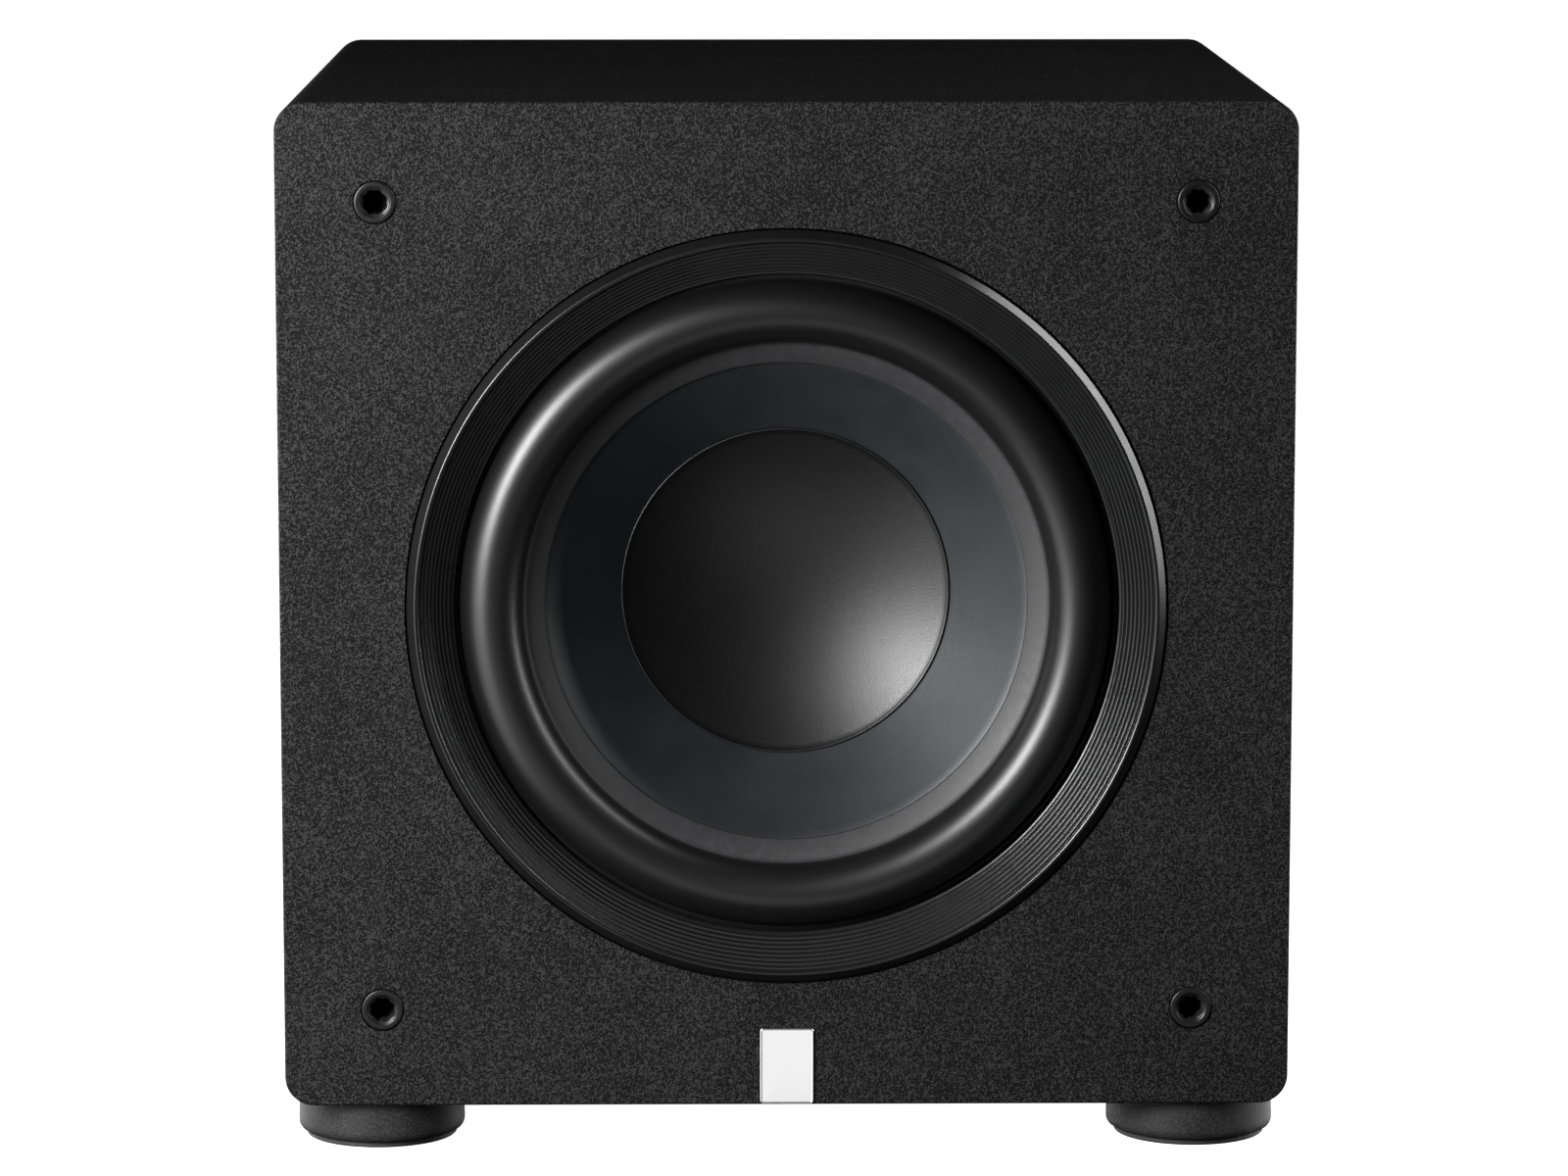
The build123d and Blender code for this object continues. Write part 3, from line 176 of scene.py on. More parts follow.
def soften(corners, closed=True, steps=3):
    """Rounds the corners of an outline, each given as (across, along, radius).

    A parabola leaves the run into each corner a radius before it and joins the run out of it a
    radius after it, but never past 0.4 of a run. One more point just outside each end of the
    parabola keeps the flats flat. An open outline keeps its first and last points.
    """
    corners = np.asarray(corners, float)
    radius = corners[:, 2:]
    corners = corners[:, :2]
    into = corners - np.roll(corners, 1, 0)
    out = np.roll(corners, -1, 0) - corners
    run_in = np.linalg.norm(into, axis=1, keepdims=True)
    run_out = np.linalg.norm(out, axis=1, keepdims=True)
    cut_in = np.minimum(radius, LONGEST_CUT * run_in)
    cut_out = np.minimum(radius, LONGEST_CUT * run_out)
    start = corners - into / run_in * cut_in
    end = corners + out / run_out * cut_out
    share = np.linspace(0, 1, steps + 1)[None, :, None]
    curve = ((1 - share) ** 2 * start[:, None] + 2 * share * (1 - share) * corners[:, None]
             + share ** 2 * end[:, None])
    guard_in = corners - into / run_in * cut_in * GUARD
    guard_out = corners + out / run_out * cut_out * GUARD
    rows = np.concatenate([guard_in[:, None], curve, guard_out[:, None]], 1)
    if closed:
        return rows.reshape(-1, 2)
    return np.concatenate([corners[:1], rows[1:-1].reshape(-1, 2), corners[-1:]])


def arc(centre, radius, start, end, count):
    """Points on a circle's arc, in (across, along): the centre plus radius times cosine and sine."""
    angle = np.radians(np.linspace(start, end, count))
    return np.stack([centre[0] + radius * np.cos(angle), centre[1] + radius * np.sin(angle)], 1)


def turned(outline, centre, count=256, upright=False, ripple=None):
    """An outline of (radius, along) carried round an axis through centre: rows by angles.

    Across the axis a point lies at radius times the cosine and sine of the angle; along it, at
    the outline's second value. The axis is Y, or Z if upright. ripple is added to the radius,
    row by row and angle by angle.
    """
    angle = np.linspace(0, 2 * np.pi, count, endpoint=False)
    radii = outline[:, :1] + (0 if ripple is None else ripple(angle))
    radii = np.broadcast_to(radii, (len(outline), count))
    first = centre[0] + radii * np.cos(angle)
    along = np.broadcast_to(outline[:, 1:], radii.shape)
    if upright:
        return np.stack([first, centre[1] + radii * np.sin(angle), centre[2] + along], -1)
    return np.stack([first, along, centre[2] + radii * np.sin(angle)], -1)


def framed(half_width, half_height, corner, outline, centre, steps=8):
    """An outline of (inset, along) carried round an upright rounded rectangle: rows by points.

    Each row is the rectangle drawn in by its inset, and its corner radius shrinks by as much, to
    no less than a twentieth. One more point a quarter of the radius outside each end of each
    corner's arc keeps the flats flat. x and z lie on the rectangle and y is the row's second value.
    """
    inset = outline[:, :1]
    quarter = np.concatenate([[0], np.linspace(0, 90, steps + 1), [90]])
    angle = np.radians(quarter[None, :] + [[0], [90], [180], [270]]).reshape(1, -1)
    side = np.repeat([1, -1, -1, 1], steps + 3)
    up = np.repeat([1, 1, -1, -1], steps + 3)
    radius = np.maximum(corner - inset, 0.05 * corner)
    guard = np.tile(np.concatenate([[-0.25], np.zeros(steps + 1), [0.25]]), 4) * corner
    x = side * (half_width - inset - radius) + radius * np.cos(angle) - guard * np.sin(angle)
    z = up * (half_height - inset - radius) + radius * np.sin(angle) + guard * np.cos(angle)
    y = np.broadcast_to(outline[:, 1:], x.shape)
    return np.stack([centre[0] + x, y, centre[2] + z], -1)


def followed(points, radius, samples, count=14):
    """A round tube along a route, with both ends closed: a grid of rows by angles.

    Each inner point bends the line as a parabola from the middle of one run to the middle of the
    next; the tube's circles stand square to the line, turned from a fixed side direction.
    """
    points = np.asarray(points, float)
    middles = (points[:-1] + points[1:]) / 2
    starts = np.concatenate([points[:1], middles[1:-1]])
    ends = np.concatenate([middles[1:-1], points[-1:]])
    share = np.linspace(0, 1, samples, endpoint=False)[None, :, None]
    line = ((1 - share) ** 2 * starts[:, None] + 2 * share * (1 - share) * points[1:-1, None]
            + share ** 2 * ends[:, None]).reshape(-1, 3)
    line = np.concatenate([line, points[-1:]])
    ahead = np.gradient(line, axis=0)
    ahead /= np.linalg.norm(ahead, axis=1, keepdims=True)
    side = np.cross(ahead, np.array([1.0, 0.0, 0.0]))
    side /= np.linalg.norm(side, axis=1, keepdims=True)
    third = np.cross(ahead, side)
    angle = np.linspace(0, 2 * np.pi, count, endpoint=False)
    circle = (np.cos(angle)[None, :, None] * side[:, None]
              + np.sin(angle)[None, :, None] * third[:, None])
    return line[:, None] + radius * circle


def pillow(lowest, highest, squareness=0.28, count=72, swell=0.0):
    """A pad that fills a box: a rounded box from two angles, its faces crowned and dimpled.

    Each direction takes the sine or cosine of its angles to the power squareness, with its sign,
    which is a box with round edges when the power is small. Long sine waves lift the faces.
    """
    centre = (np.asarray(lowest) + highest) / 2
    half = (np.asarray(highest) - lowest) / 2
    tilt = np.linspace(-np.pi / 2, np.pi / 2, count)[:, None]
    turn = np.linspace(0, 2 * np.pi, 2 * count, endpoint=False)[None, :]

    def power(value):
        return np.sign(value) * np.abs(value) ** squareness

    level = power(np.round(np.cos(tilt), 9))
    unit = np.stack([level * power(np.cos(turn)), level * power(np.sin(turn)),
                     power(np.sin(tilt)) * np.ones_like(turn)], -1)
    places = unit * half
    wave = np.sin(places[..., 0] * 190) * np.sin(places[..., 1] * 170) * np.sin(places[..., 2] * 210 + 1)
    return centre + places * (1 - swell + swell * wave[..., None])


def faces_of(grid, closed, first):
    """A grid's faces as arrays of corner numbers, counted from first.

    Columns always join up. Rows join up if closed; if not, each end row is closed by one flat
    face, or by a fan of triangles where the row is a single point.
    """
    rows, columns = grid.shape[:2]
    index = first + np.arange(rows * columns).reshape(rows, columns)
    size = np.ptp(grid, axis=1).max(axis=1)
    point = size < 1e-9
    made = []
    lower = index if closed else index[:-1]
    upper = np.roll(index, -1, 0) if closed else index[1:]
    quads = np.stack([lower, np.roll(lower, -1, 1), np.roll(upper, -1, 1), upper], -1)
    whole = np.ones(len(quads), bool)
    if not closed:
        for end, row, ring in ((0, 0, index[1]), (-1, len(quads) - 1, index[-2])):
            if point[end]:
                whole[row] = False
                tip = np.full(columns, index[end, 0])
                fan = [ring, np.roll(ring, -1), tip] if end else [np.roll(ring, -1), ring, tip]
                made.append(np.stack(fan, -1))
            else:
                made.append(index[end][None, ::-1] if end == 0 else index[end][None, :])
    made.insert(0, quads[whole].reshape(-1, 4))
    return made


def piece(name, grids, slot, *nodes, body="cabinet", closed=True, finish=None, uv=False):
    """A finished mesh object from one or more grids of points, faces outwards, smooth shaded.

    It takes its material slot, hides the CAD nodes it stands for, and rides on its body; one that
    bends between two bodies has none. Its finish is the slot's, or the one named. uv gives each
    point its place in the grid: u runs along the rows, and v goes from 1 to 0 and back round the
    columns, so it has no seam.
    """
    points, corners, sizes, places = [], [], [], []
    first = 0
    for grid in grids:
        for block in faces_of(grid, closed, first):
            corners.append(block.reshape(-1))
            sizes.append(np.full(len(block), block.shape[1]))
        points.append(grid.reshape(-1, 3))
        rows, columns = grid.shape[:2]
        if uv:
            round_it = np.abs(2 * np.arange(columns) / columns - 1)
            spot = np.stack(np.meshgrid(np.arange(rows) / (rows - 1), round_it, indexing="ij"), -1)
            places.append(spot.reshape(-1, 2))
        first += rows * columns
    corners = np.concatenate(corners)
    used, corners = np.unique(corners, return_inverse=True)
    points = np.concatenate(points)[used]
    sizes = np.concatenate(sizes)
    mesh = bpy.data.meshes.new(name)
    mesh.vertices.add(len(points))
    mesh.vertices.foreach_set("co", points.astype(np.float32).ravel())
    mesh.loops.add(len(corners))
    mesh.loops.foreach_set("vertex_index", corners.astype(np.int32))
    mesh.polygons.add(len(sizes))
    starts = np.concatenate([[0], np.cumsum(sizes)[:-1]])
    mesh.polygons.foreach_set("loop_start", starts.astype(np.int32))
    mesh.update(calc_edges=True)
    if uv:
        layer = mesh.uv_layers.new(name="along")
        layer.data.foreach_set("uv", np.concatenate(places)[used][corners].astype(np.float32).ravel())
    if mesh.validate(verbose=False):
        raise RuntimeError(f"{name}: the grid made a face that isn't whole")
    edges = np.empty(len(mesh.loops), np.int32)
    mesh.loops.foreach_get("edge_index", edges)
    if np.any(np.bincount(edges) != 2):
        raise RuntimeError(f"{name}: some edges don't join two faces")
    check = bmesh.new()
    check.from_mesh(mesh)
    volume = check.calc_volume(signed=True)
    check.free()
    if volume < 0:
        mesh.flip_normals()
    mesh.shade_smooth()
    made = bpy.data.objects.new(name, mesh)
    bpy.context.scene.collection.objects.link(made)
    mesh.materials.append(finish_of(finish or slot))
    if body:
        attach(made, body)
    if nodes:
        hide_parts(*nodes)
    return made


def bend_with_cone(made):
    """Bakes a round piece's placement into its mesh and reads its points into an array; it doesn't move them
    towards the cone.
    """
    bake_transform(made)
    points = np.empty(len(made.data.vertices) * 3, np.float32)
    made.data.vertices.foreach_get("co", points)
    points = points.reshape(-1, 3)


# ============================== shader recipes ====================================================
def maths(operation, swap=False):
    """A method of Value that adds a Math node; swap puts the value itself last."""
    def method(self, *others):
        values = [self, *others]
        if swap:
            values.reverse()
        made = self.recipe.add("ShaderNodeMath", {"operation": operation}, dict(enumerate(values)))
        return Value(self.recipe, made.outputs[0])
    return method


class Value:
    """A number socket that takes arithmetic: each operation adds its Math node."""

    def __init__(self, recipe, socket):
        self.recipe = recipe
        self.socket = socket

    __add__ = maths("ADD")
    __radd__ = maths("ADD", swap=True)
    __sub__ = maths("SUBTRACT")
    __rsub__ = maths("SUBTRACT", swap=True)
    __mul__ = maths("MULTIPLY")
    __pow__ = maths("POWER")
    __abs__ = maths("ABSOLUTE")
    sine = maths("SINE")
    above = maths("GREATER_THAN")
    below = maths("LESS_THAN")
    largest = maths("MAXIMUM")


class Recipe:
    """A material being put together: its node tree and the shader at its end."""

    def __init__(self, name):
        self.material = bpy.data.materials.new(name)
        self.material.use_nodes = True
        self.tree = self.material.node_tree
        self.shader = self.tree.nodes["Principled BSDF"]
        self.where = self.add("ShaderNodeTexCoord").outputs["Object"]

    def add(self, kind, settings=None, sockets=None):
        """A new node: its settings are set first, then each socket gets a value or a link."""
        node = self.tree.nodes.new(kind)
        for key, setting in (settings or {}).items():
            setattr(node, key, setting)
        for key, given in (sockets or {}).items():
            self.feed(node.inputs[key], given)
        return node

    def feed(self, socket, given):
        """Links a socket to a value, or sets it to a plain number, colour or vector."""
        if isinstance(given, Value):
            given = given.socket
        if isinstance(given, bpy.types.NodeSocket):
            self.tree.links.new(given, socket)
        elif hasattr(given, "__len__") and len(given) == 3 and socket.type == "RGBA":
            socket.default_value = (*given, 1)
        else:
            socket.default_value = given

    def place(self):
        """The point's x, y and z in the object's own frame, in metres."""
        parts = self.add("ShaderNodeSeparateXYZ", None, {0: self.where})
        return [Value(self, parts.outputs[axis]) for axis in range(3)]

    def stretched(self, scale):
        """The point with each of its directions scaled, for a pattern with a grain."""
        return self.add("ShaderNodeVectorMath", {"operation": "MULTIPLY"},
                        {0: self.where, 1: scale}).outputs[0]

    def noise(self, size, detail=2.0, rough=0.5, where=None):
        """Soft noise from 0 to 1 whose blobs are about a size across."""
        node = self.add("ShaderNodeTexNoise", None,
                        {"Vector": where or self.where, "Scale": 1 / size, "Detail": detail,
                         "Roughness": rough})
        return Value(self, node.outputs["Fac"])

    def pebbles(self, size, feature="SMOOTH_F1"):
        """Rounded cells about a size apart, 0 in a cell's middle and rising to its edge."""
        node = self.add("ShaderNodeTexVoronoi", {"feature": feature},
                        {"Vector": self.where, "Scale": 1 / size})
        return Value(self, node.outputs["Distance"])

    def clamp(self, value, start, end):
        """The value moved smoothly from start..end to 0..1, and held there past either end."""
        node = self.add("ShaderNodeMapRange", {"interpolation_type": "SMOOTHSTEP"},
                        {0: value, 1: start, 2: end})
        return Value(self, node.outputs[0])

    def blend(self, share, first, second, start=None, end=None):
        """A colour from the first at share 0, or start, to the second at share 1, or end."""
        if end is not None:
            share = self.clamp(share, start, end)
        node = self.add("ShaderNodeMix", {"data_type": "RGBA"}, {0: share, 6: first, 7: second})
        return node.outputs[2]

    def tint(self, share, colour, darkest, lightest, start=None, end=None):
        """One colour made darker and lighter, from the darkest share of it to the lightest."""
        return self.blend(share, shade(colour, darkest), shade(colour, lightest), start, end)

    def bump(self, height, depth):
        """Raises the surface by height, from 0 to 1, times depth."""
        node = self.add("ShaderNodeBump", None, {"Height": height, "Distance": depth})
        self.feed(self.shader.inputs["Normal"], node.outputs[0])

    def finish(self, **sockets):
        """Feeds the shader's sockets by name, with underscores for spaces, and gives the material."""
        for key, given in sockets.items():
            self.feed(self.shader.inputs[key.replace("_", " ")], given)
        return self.material


def shade(colour, share):
    """A colour made lighter or darker by a share."""
    return tuple(min(1.0, part * share) for part in colour)


# ============================== finishes ==========================================================
def vinyl_textured(name):
    """Pebbled black wrap: small rounded cells, each a little lighter or darker, satin."""
    settings = bpy.context.scene.subwoofer_cabinet
    recipe = Recipe(name)
    cells = recipe.pebbles(settings.grain)
    fine = recipe.noise(settings.grain * 0.6, 1.0, 0.6)
    broad = recipe.noise(45 * MM, 2.0)
    tone = recipe.clamp(fine * 0.8 + cells * 0.3 + broad * 0.1, 0.5, 0.74)
    recipe.bump(fine + (1 - cells) * 0.4, 0.25 * MM)
    return recipe.finish(
        Base_Color=recipe.tint(tone, settings.vinyl, 0.1, 13.0),
        Roughness=0.72 - tone * 0.22, Specular_IOR_Level=0.14)


def panel_wood(name):
    """Raw fibreboard: pressed fibres, denser and darker specks."""
    recipe = Recipe(name)
    fibre = recipe.noise(0.9 * MM, 4.0, 0.7)
    broad = recipe.noise(14 * MM, 3.0)
    recipe.bump(fibre, 0.12 * MM)
    return recipe.finish(
        Base_Color=recipe.blend(fibre * 0.7 + broad * 0.3, (0.25, 0.16, 0.09), (0.5, 0.37, 0.23), 0.35, 0.65),
        Roughness=0.8 + fibre * 0.15)


def foot_plastic(name):
    """Moulded feet: satin grey-black with fine light specks."""
    settings = bpy.context.scene.subwoofer_cabinet
    recipe = Recipe(name)
    specks = recipe.noise(0.6 * MM, 2.0, 0.7)
    broad = recipe.noise(9 * MM, 2.0)
    tone = recipe.clamp(specks * 0.9 + broad * 0.1, 0.45, 0.62)
    recipe.bump(specks, 0.12 * MM)
    return recipe.finish(
        Base_Color=recipe.tint(tone, settings.foot_colour, 0.4, 2.2),
        Roughness=0.55 + specks * 0.2, Specular_IOR_Level=0.35)


def matt_rubber(name):
    """Matt moulded rubber with a fine skin and a few dusty patches."""
    recipe = Recipe(name)
    skin = recipe.noise(0.5 * MM, 3.0, 0.6)
    dust = recipe.noise(18 * MM, 4.0)
    recipe.bump(skin, 0.06 * MM)
    return recipe.finish(
        Base_Color=recipe.tint(dust, (0.017, 0.017, 0.017), 1.0, 1.7, 0.45, 0.75),
        Roughness=0.62 + skin * 0.25)


def gloss_black(name):
    """The trim ring's moulding: satin-polished, a little duller and paler in soft patches."""
    settings = bpy.context.scene.subwoofer_woofer
    recipe = Recipe(name)
    scuffs = recipe.noise(9 * MM, 1.0, 0.5)
    broad = recipe.noise(40 * MM, 2.0)
    return recipe.finish(
        Base_Color=recipe.tint(broad, settings.ring_colour, 1.0, 1.3, 0.35, 0.7),
        Roughness=0.25 + scuffs * 0.06)


def socket_rubber(name):
    """Satin moulded sockets, with fine flow marks; more than 0.6 mm into the hole, painted shade makes them
    near-black, and they are rougher there.
    """
    recipe = Recipe(name)
    _, y, _ = recipe.place()
    # painted shade: everything more than 0.6 mm behind the socket's front face takes the darkest colour,
    # standing in for the shadow inside the hole
    painted_hole_shade = y.above(float(low("grille_sockets")[1]) + 0.6 * MM)
    flow = recipe.noise(1.6 * MM, 3.0, 0.6)
    recipe.bump(flow, 0.03 * MM)
    # the colour is near-black wherever the painted hole shade lies, and the flow marks show only at the front
    return recipe.finish(
        Base_Color=recipe.blend(flow * (1 - painted_hole_shade), (0.001, 0.001, 0.001), (0.008, 0.008, 0.0085)),
        Roughness=0.3 + flow * 0.1 + painted_hole_shade * 0.5, Specular_IOR_Level=0.35)


def badge_silver(name):
    """Satin silver: fine upright brushing over a near-white metal."""
    settings = bpy.context.scene.subwoofer_cabinet
    recipe = Recipe(name)
    strokes = recipe.noise(0.35 * MM, 3.0, 0.6, recipe.stretched((1, 1, 0.02)))
    recipe.bump(strokes, 0.012 * MM)
    return recipe.finish(
        Base_Color=recipe.tint(strokes, settings.badge_colour, 0.94, 1.04),
        Metallic=1.0, Roughness=0.13 + strokes * 0.08)


def surround_rubber(name):
    """Butyl rubber: a smooth satin roll, and a duller, mottled lip where it is glued to the cone."""
    settings = bpy.context.scene.subwoofer_woofer
    recipe = Recipe(name)
    x, _, z = recipe.place()
    radius = ((x - AXIS[0]) ** 2 + (z - AXIS[2]) ** 2) ** 0.5
    lip = recipe.clamp(radius, reach("cone") + 0.2 * MM, reach("cone") - 0.3 * MM)
    mottle = recipe.noise(2.6 * MM, 4.0, 0.6)
    skin = recipe.noise(0.7 * MM, 2.0)
    recipe.bump(mottle * lip * 0.5 + skin * 0.35, 0.08 * MM)
    rubber = recipe.tint(recipe.noise(22 * MM, 3.0), settings.rubber, 1.0, 1.5)
    glued = recipe.tint(mottle, settings.rubber, 4.0, 10.0)
    return recipe.finish(
        Base_Color=recipe.blend(lip, rubber, glued),
        Roughness=0.33 + skin * 0.08 + lip * (mottle * 0.2 + 0.08))


def cone_paper(name):
    """Coated pulp: fine fibres under a satin bluish coat."""
    settings = bpy.context.scene.subwoofer_woofer
    recipe = Recipe(name)
    fibre = recipe.noise(0.8 * MM, 4.0, 0.65)
    cloud = recipe.noise(16 * MM, 3.0)
    recipe.bump(fibre, 0.05 * MM)
    return recipe.finish(
        Base_Color=recipe.tint(cloud * 0.6 + fibre * 0.4, settings.cone_colour, 0.82, 1.2, 0.35, 0.65),
        Roughness=0.38 + fibre * 0.12, Specular_IOR_Level=0.8)


def cap_paper(name):
    """The dust cap's paper: a fine, even grain with a soft sheen."""
    settings = bpy.context.scene.subwoofer_woofer
    recipe = Recipe(name)
    grain = recipe.noise(0.55 * MM, 3.0, 0.7)
    cloud = recipe.noise(12 * MM, 3.0)
    recipe.bump(grain, 0.07 * MM)
    return recipe.finish(
        Base_Color=recipe.tint(grain * 0.6 + cloud * 0.4, settings.cap_colour, 0.75, 1.3, 0.35, 0.65),
        Roughness=0.32 + grain * 0.12)


def cloth_amber(name):
    """The spider's resin-stiffened cotton: threads along x and z pass over and under each other."""
    thread = 0.55 * MM
    recipe = Recipe(name)
    x, _, z = recipe.place()
    pace = np.pi / thread
    weave = (x * pace).sine() * (z * pace).sine()
    fuzz = recipe.noise(thread / 3, 3.0)
    recipe.bump(weave * 0.5 + fuzz * 0.4, 0.12 * MM)
    return recipe.finish(
        Base_Color=recipe.tint(weave * 0.5 + fuzz, (0.5, 0.31, 0.12), 0.6, 1.25, 0.1, 0.9),
        Roughness=0.6 + fuzz * 0.1, Sheen_Weight=0.2)


def felt_lining(name):
    """Loose polyester batting: crossing fibres, matt and pale."""
    recipe = Recipe(name)
    first = recipe.noise(0.7 * MM, 5.0, 0.75, recipe.stretched((1, 0.15, 1)))
    second = recipe.noise(0.7 * MM, 5.0, 0.75, recipe.stretched((1, 1, 0.15)))
    lumps = recipe.noise(17 * MM, 3.0)
    fibres = first * 0.5 + second * 0.5
    recipe.bump(fibres * 0.6 + lumps * 0.8, 1.2 * MM)
    return recipe.finish(
        Base_Color=recipe.blend(fibres, (0.5, 0.49, 0.45), (0.82, 0.81, 0.77), 0.35, 0.65),
        Roughness=0.95, Sheen_Weight=0.35)


def metal(name, colour, roughness, streaked=False):
    """Bare or plated metal: drawn streaks or fine grain, and soft clouds of duller plating."""
    recipe = Recipe(name)
    where = recipe.stretched((1, 1, 0.04)) if streaked else None
    grain = recipe.noise(0.5 * MM, 3.0, 0.6, where)
    cloud = recipe.noise(11 * MM, 4.0)
    recipe.bump(grain, 0.015 * MM)
    return recipe.finish(
        Base_Color=recipe.tint(cloud, colour, 1.0, 1 / 1.35, 0.4, 0.7),
        Metallic=1.0, Roughness=roughness + grain * 0.12 + cloud * 0.1)


def copper_wire(name):
    """Enamelled wire: round turns side by side along y, under a glossy amber enamel."""
    recipe = Recipe(name)
    _, y, _ = recipe.place()
    turns = abs((y * (np.pi / (0.5 * MM))).sine())
    cloud = recipe.noise(6 * MM, 3.0)
    recipe.bump(turns, 0.12 * MM)
    return recipe.finish(
        Base_Color=recipe.blend(turns * 0.5 + cloud * 0.5, (0.3, 0.1, 0.045), (0.78, 0.36, 0.17), 0.1, 0.8),
        Metallic=1.0, Roughness=0.28 + cloud * 0.12, Coat_Weight=0.5)


def braided(name):
    """Tinsel braid: strands that cross as they wind along the lead."""
    recipe = Recipe(name)
    along = recipe.add("ShaderNodeUVMap", {"uv_map": "along"}).outputs[0]
    parts = recipe.add("ShaderNodeSeparateXYZ", None, {0: along})
    length = Value(recipe, parts.outputs[0])
    round_it = Value(recipe, parts.outputs[1])
    right = ((length * 60 + round_it * 4) * (2 * np.pi)).sine()
    left = ((length * 60 - round_it * 4) * (2 * np.pi)).sine()
    strands = right.largest(left)
    recipe.bump(strands, 0.15 * MM)
    return recipe.finish(
        Base_Color=recipe.blend(strands, (0.24, 0.1, 0.05), (0.85, 0.5, 0.3), -0.2, 1),
        Metallic=0.9, Roughness=0.4)


def powder_coat(name):
    """Fine-textured black powder coat."""
    settings = bpy.context.scene.subwoofer_amplifier
    recipe = Recipe(name)
    orange_peel = recipe.noise(0.9 * MM, 2.0, 0.5)
    fine = recipe.noise(0.35 * MM, 2.0)
    recipe.bump(orange_peel * 0.7 + fine * 0.3, 0.07 * MM)
    return recipe.finish(
        Base_Color=recipe.tint(orange_peel, settings.plate_colour, 0.8, 1.3),
        Roughness=0.45 + fine * 0.2)


def ferrite(name):
    """Sintered ferrite: dark, ground faces with small pores."""
    recipe = Recipe(name)
    pores = recipe.pebbles(2.2 * MM, "F1")
    grit = recipe.noise(0.6 * MM, 4.0, 0.7)
    recipe.bump(recipe.clamp(pores, 0.05, 0.25) + grit * 0.3, 0.12 * MM)
    return recipe.finish(
        Base_Color=recipe.blend(pores, (0.02, 0.02, 0.021), (0.085, 0.085, 0.088), 0.05, 0.3),
        Roughness=0.55 + grit * 0.25, Metallic=0.3)


def gasket_foam(name):
    """Closed-cell foam: small bubbles, dull."""
    recipe = Recipe(name)
    bubbles = recipe.pebbles(0.6 * MM)
    recipe.bump(bubbles, 0.2 * MM)
    return recipe.finish(
        Base_Color=recipe.blend(bubbles, (0.012, 0.012, 0.012), (0.04, 0.04, 0.04), 0.1, 0.7),
        Roughness=0.9)


def circuit_board(name, mask, copper):
    """A soldered board: a lacquer over copper lanes that run in straight steps."""
    recipe = Recipe(name)
    lanes = recipe.add("ShaderNodeTexBrick", {"offset": 0.37, "squash": 1.0},
                       {"Vector": recipe.where, "Scale": 90.0, "Mortar Size": 0.045, "Color1": (0, 0, 0, 1),
                        "Color2": (0.4, 0.4, 0.4, 1), "Mortar": (1, 1, 1, 1)})
    share = Value(recipe, recipe.add("ShaderNodeRGBToBW", None, {0: lanes.outputs[0]}).outputs[0])
    gloss = recipe.noise(4 * MM, 3.0)
    recipe.bump(share, 0.04 * MM)
    return recipe.finish(
        Base_Color=recipe.blend(share * 0.7, mask, copper), Roughness=0.28 + gloss * 0.2)


def board_green(name):
    """Green solder mask."""
    return circuit_board(name, (0.012, 0.1, 0.035), (0.04, 0.26, 0.09))


def board_tan(name):
    """Bare phenolic laminate."""
    return circuit_board(name, (0.36, 0.23, 0.11), (0.42, 0.28, 0.14))


def lead_red(name):
    """The speaker leads' insulation: red on the right lead, black on the left."""
    recipe = Recipe(name)
    x, _, _ = recipe.place()
    skin = recipe.noise(1.5 * MM, 3.0)
    recipe.bump(skin, 0.03 * MM)
    return recipe.finish(
        Base_Color=recipe.blend(x.above(0.0), (0.015, 0.015, 0.015), (0.45, 0.012, 0.012)),
        Roughness=0.4 + skin * 0.15)


def moulded(name, colour, roughness=0.4):
    """Injection-moulded plastic with a fine eroded texture."""
    recipe = Recipe(name)
    texture = recipe.noise(0.6 * MM, 3.0, 0.6)
    cloud = recipe.noise(15 * MM, 2.0)
    recipe.bump(texture, 0.03 * MM)
    return recipe.finish(
        Base_Color=recipe.tint(texture * 0.6 + cloud * 0.4, colour, 0.8, 1.3),
        Roughness=roughness + texture * 0.18)


def capacitor_sleeve(name):
    """Shrunk sleeve with a pale stripe, and a scored aluminium end."""
    recipe = Recipe(name)
    x, y, _ = recipe.place()
    end = y.below(float(low("capacitors")[1]) + 1.2 * MM)
    stripe = x.above(float(high("capacitors")[0]) - 3 * MM)
    sleeve = recipe.blend(stripe, (0.01, 0.014, 0.05), (0.45, 0.47, 0.5))
    grain = recipe.noise(0.8 * MM, 3.0)
    recipe.bump(grain, 0.02 * MM)
    return recipe.finish(
        Base_Color=recipe.blend(end, sleeve, (0.6, 0.6, 0.62)), Metallic=end * 0.9,
        Roughness=0.3 + grain * 0.1)


def transformer_tape(name):
    """Yellow tape on the winding and dark ferrite round it."""
    recipe = Recipe(name)
    x, y, _ = recipe.place()
    laps = abs((y * (np.pi / (4 * MM))).sine())
    side = float(high("transformer")[0] - low("transformer")[0]) / 2
    core = abs(x - float(middle("transformer")[0])).above(side - 7.5 * MM)
    recipe.bump(laps, 0.05 * MM)
    tape = recipe.blend(laps, (0.35, 0.24, 0.02), (0.75, 0.56, 0.05), 0, 0.3)
    return recipe.finish(
        Base_Color=recipe.blend(core, tape, (0.03, 0.03, 0.03)), Roughness=0.35 + laps * 0.1)


def lens_blue(name):
    """A diffuse pilot lens with its lamp on."""
    recipe = Recipe(name)
    frost = recipe.noise(0.4 * MM, 2.0)
    recipe.bump(frost, 0.02 * MM)
    return recipe.finish(
        Base_Color=recipe.blend(frost, (0.2, 0.42, 0.8), (0.35, 0.6, 0.95)), Roughness=0.25 + frost * 0.1,
        Emission_Color=(0.12, 0.36, 0.95), Emission_Strength=1.2)


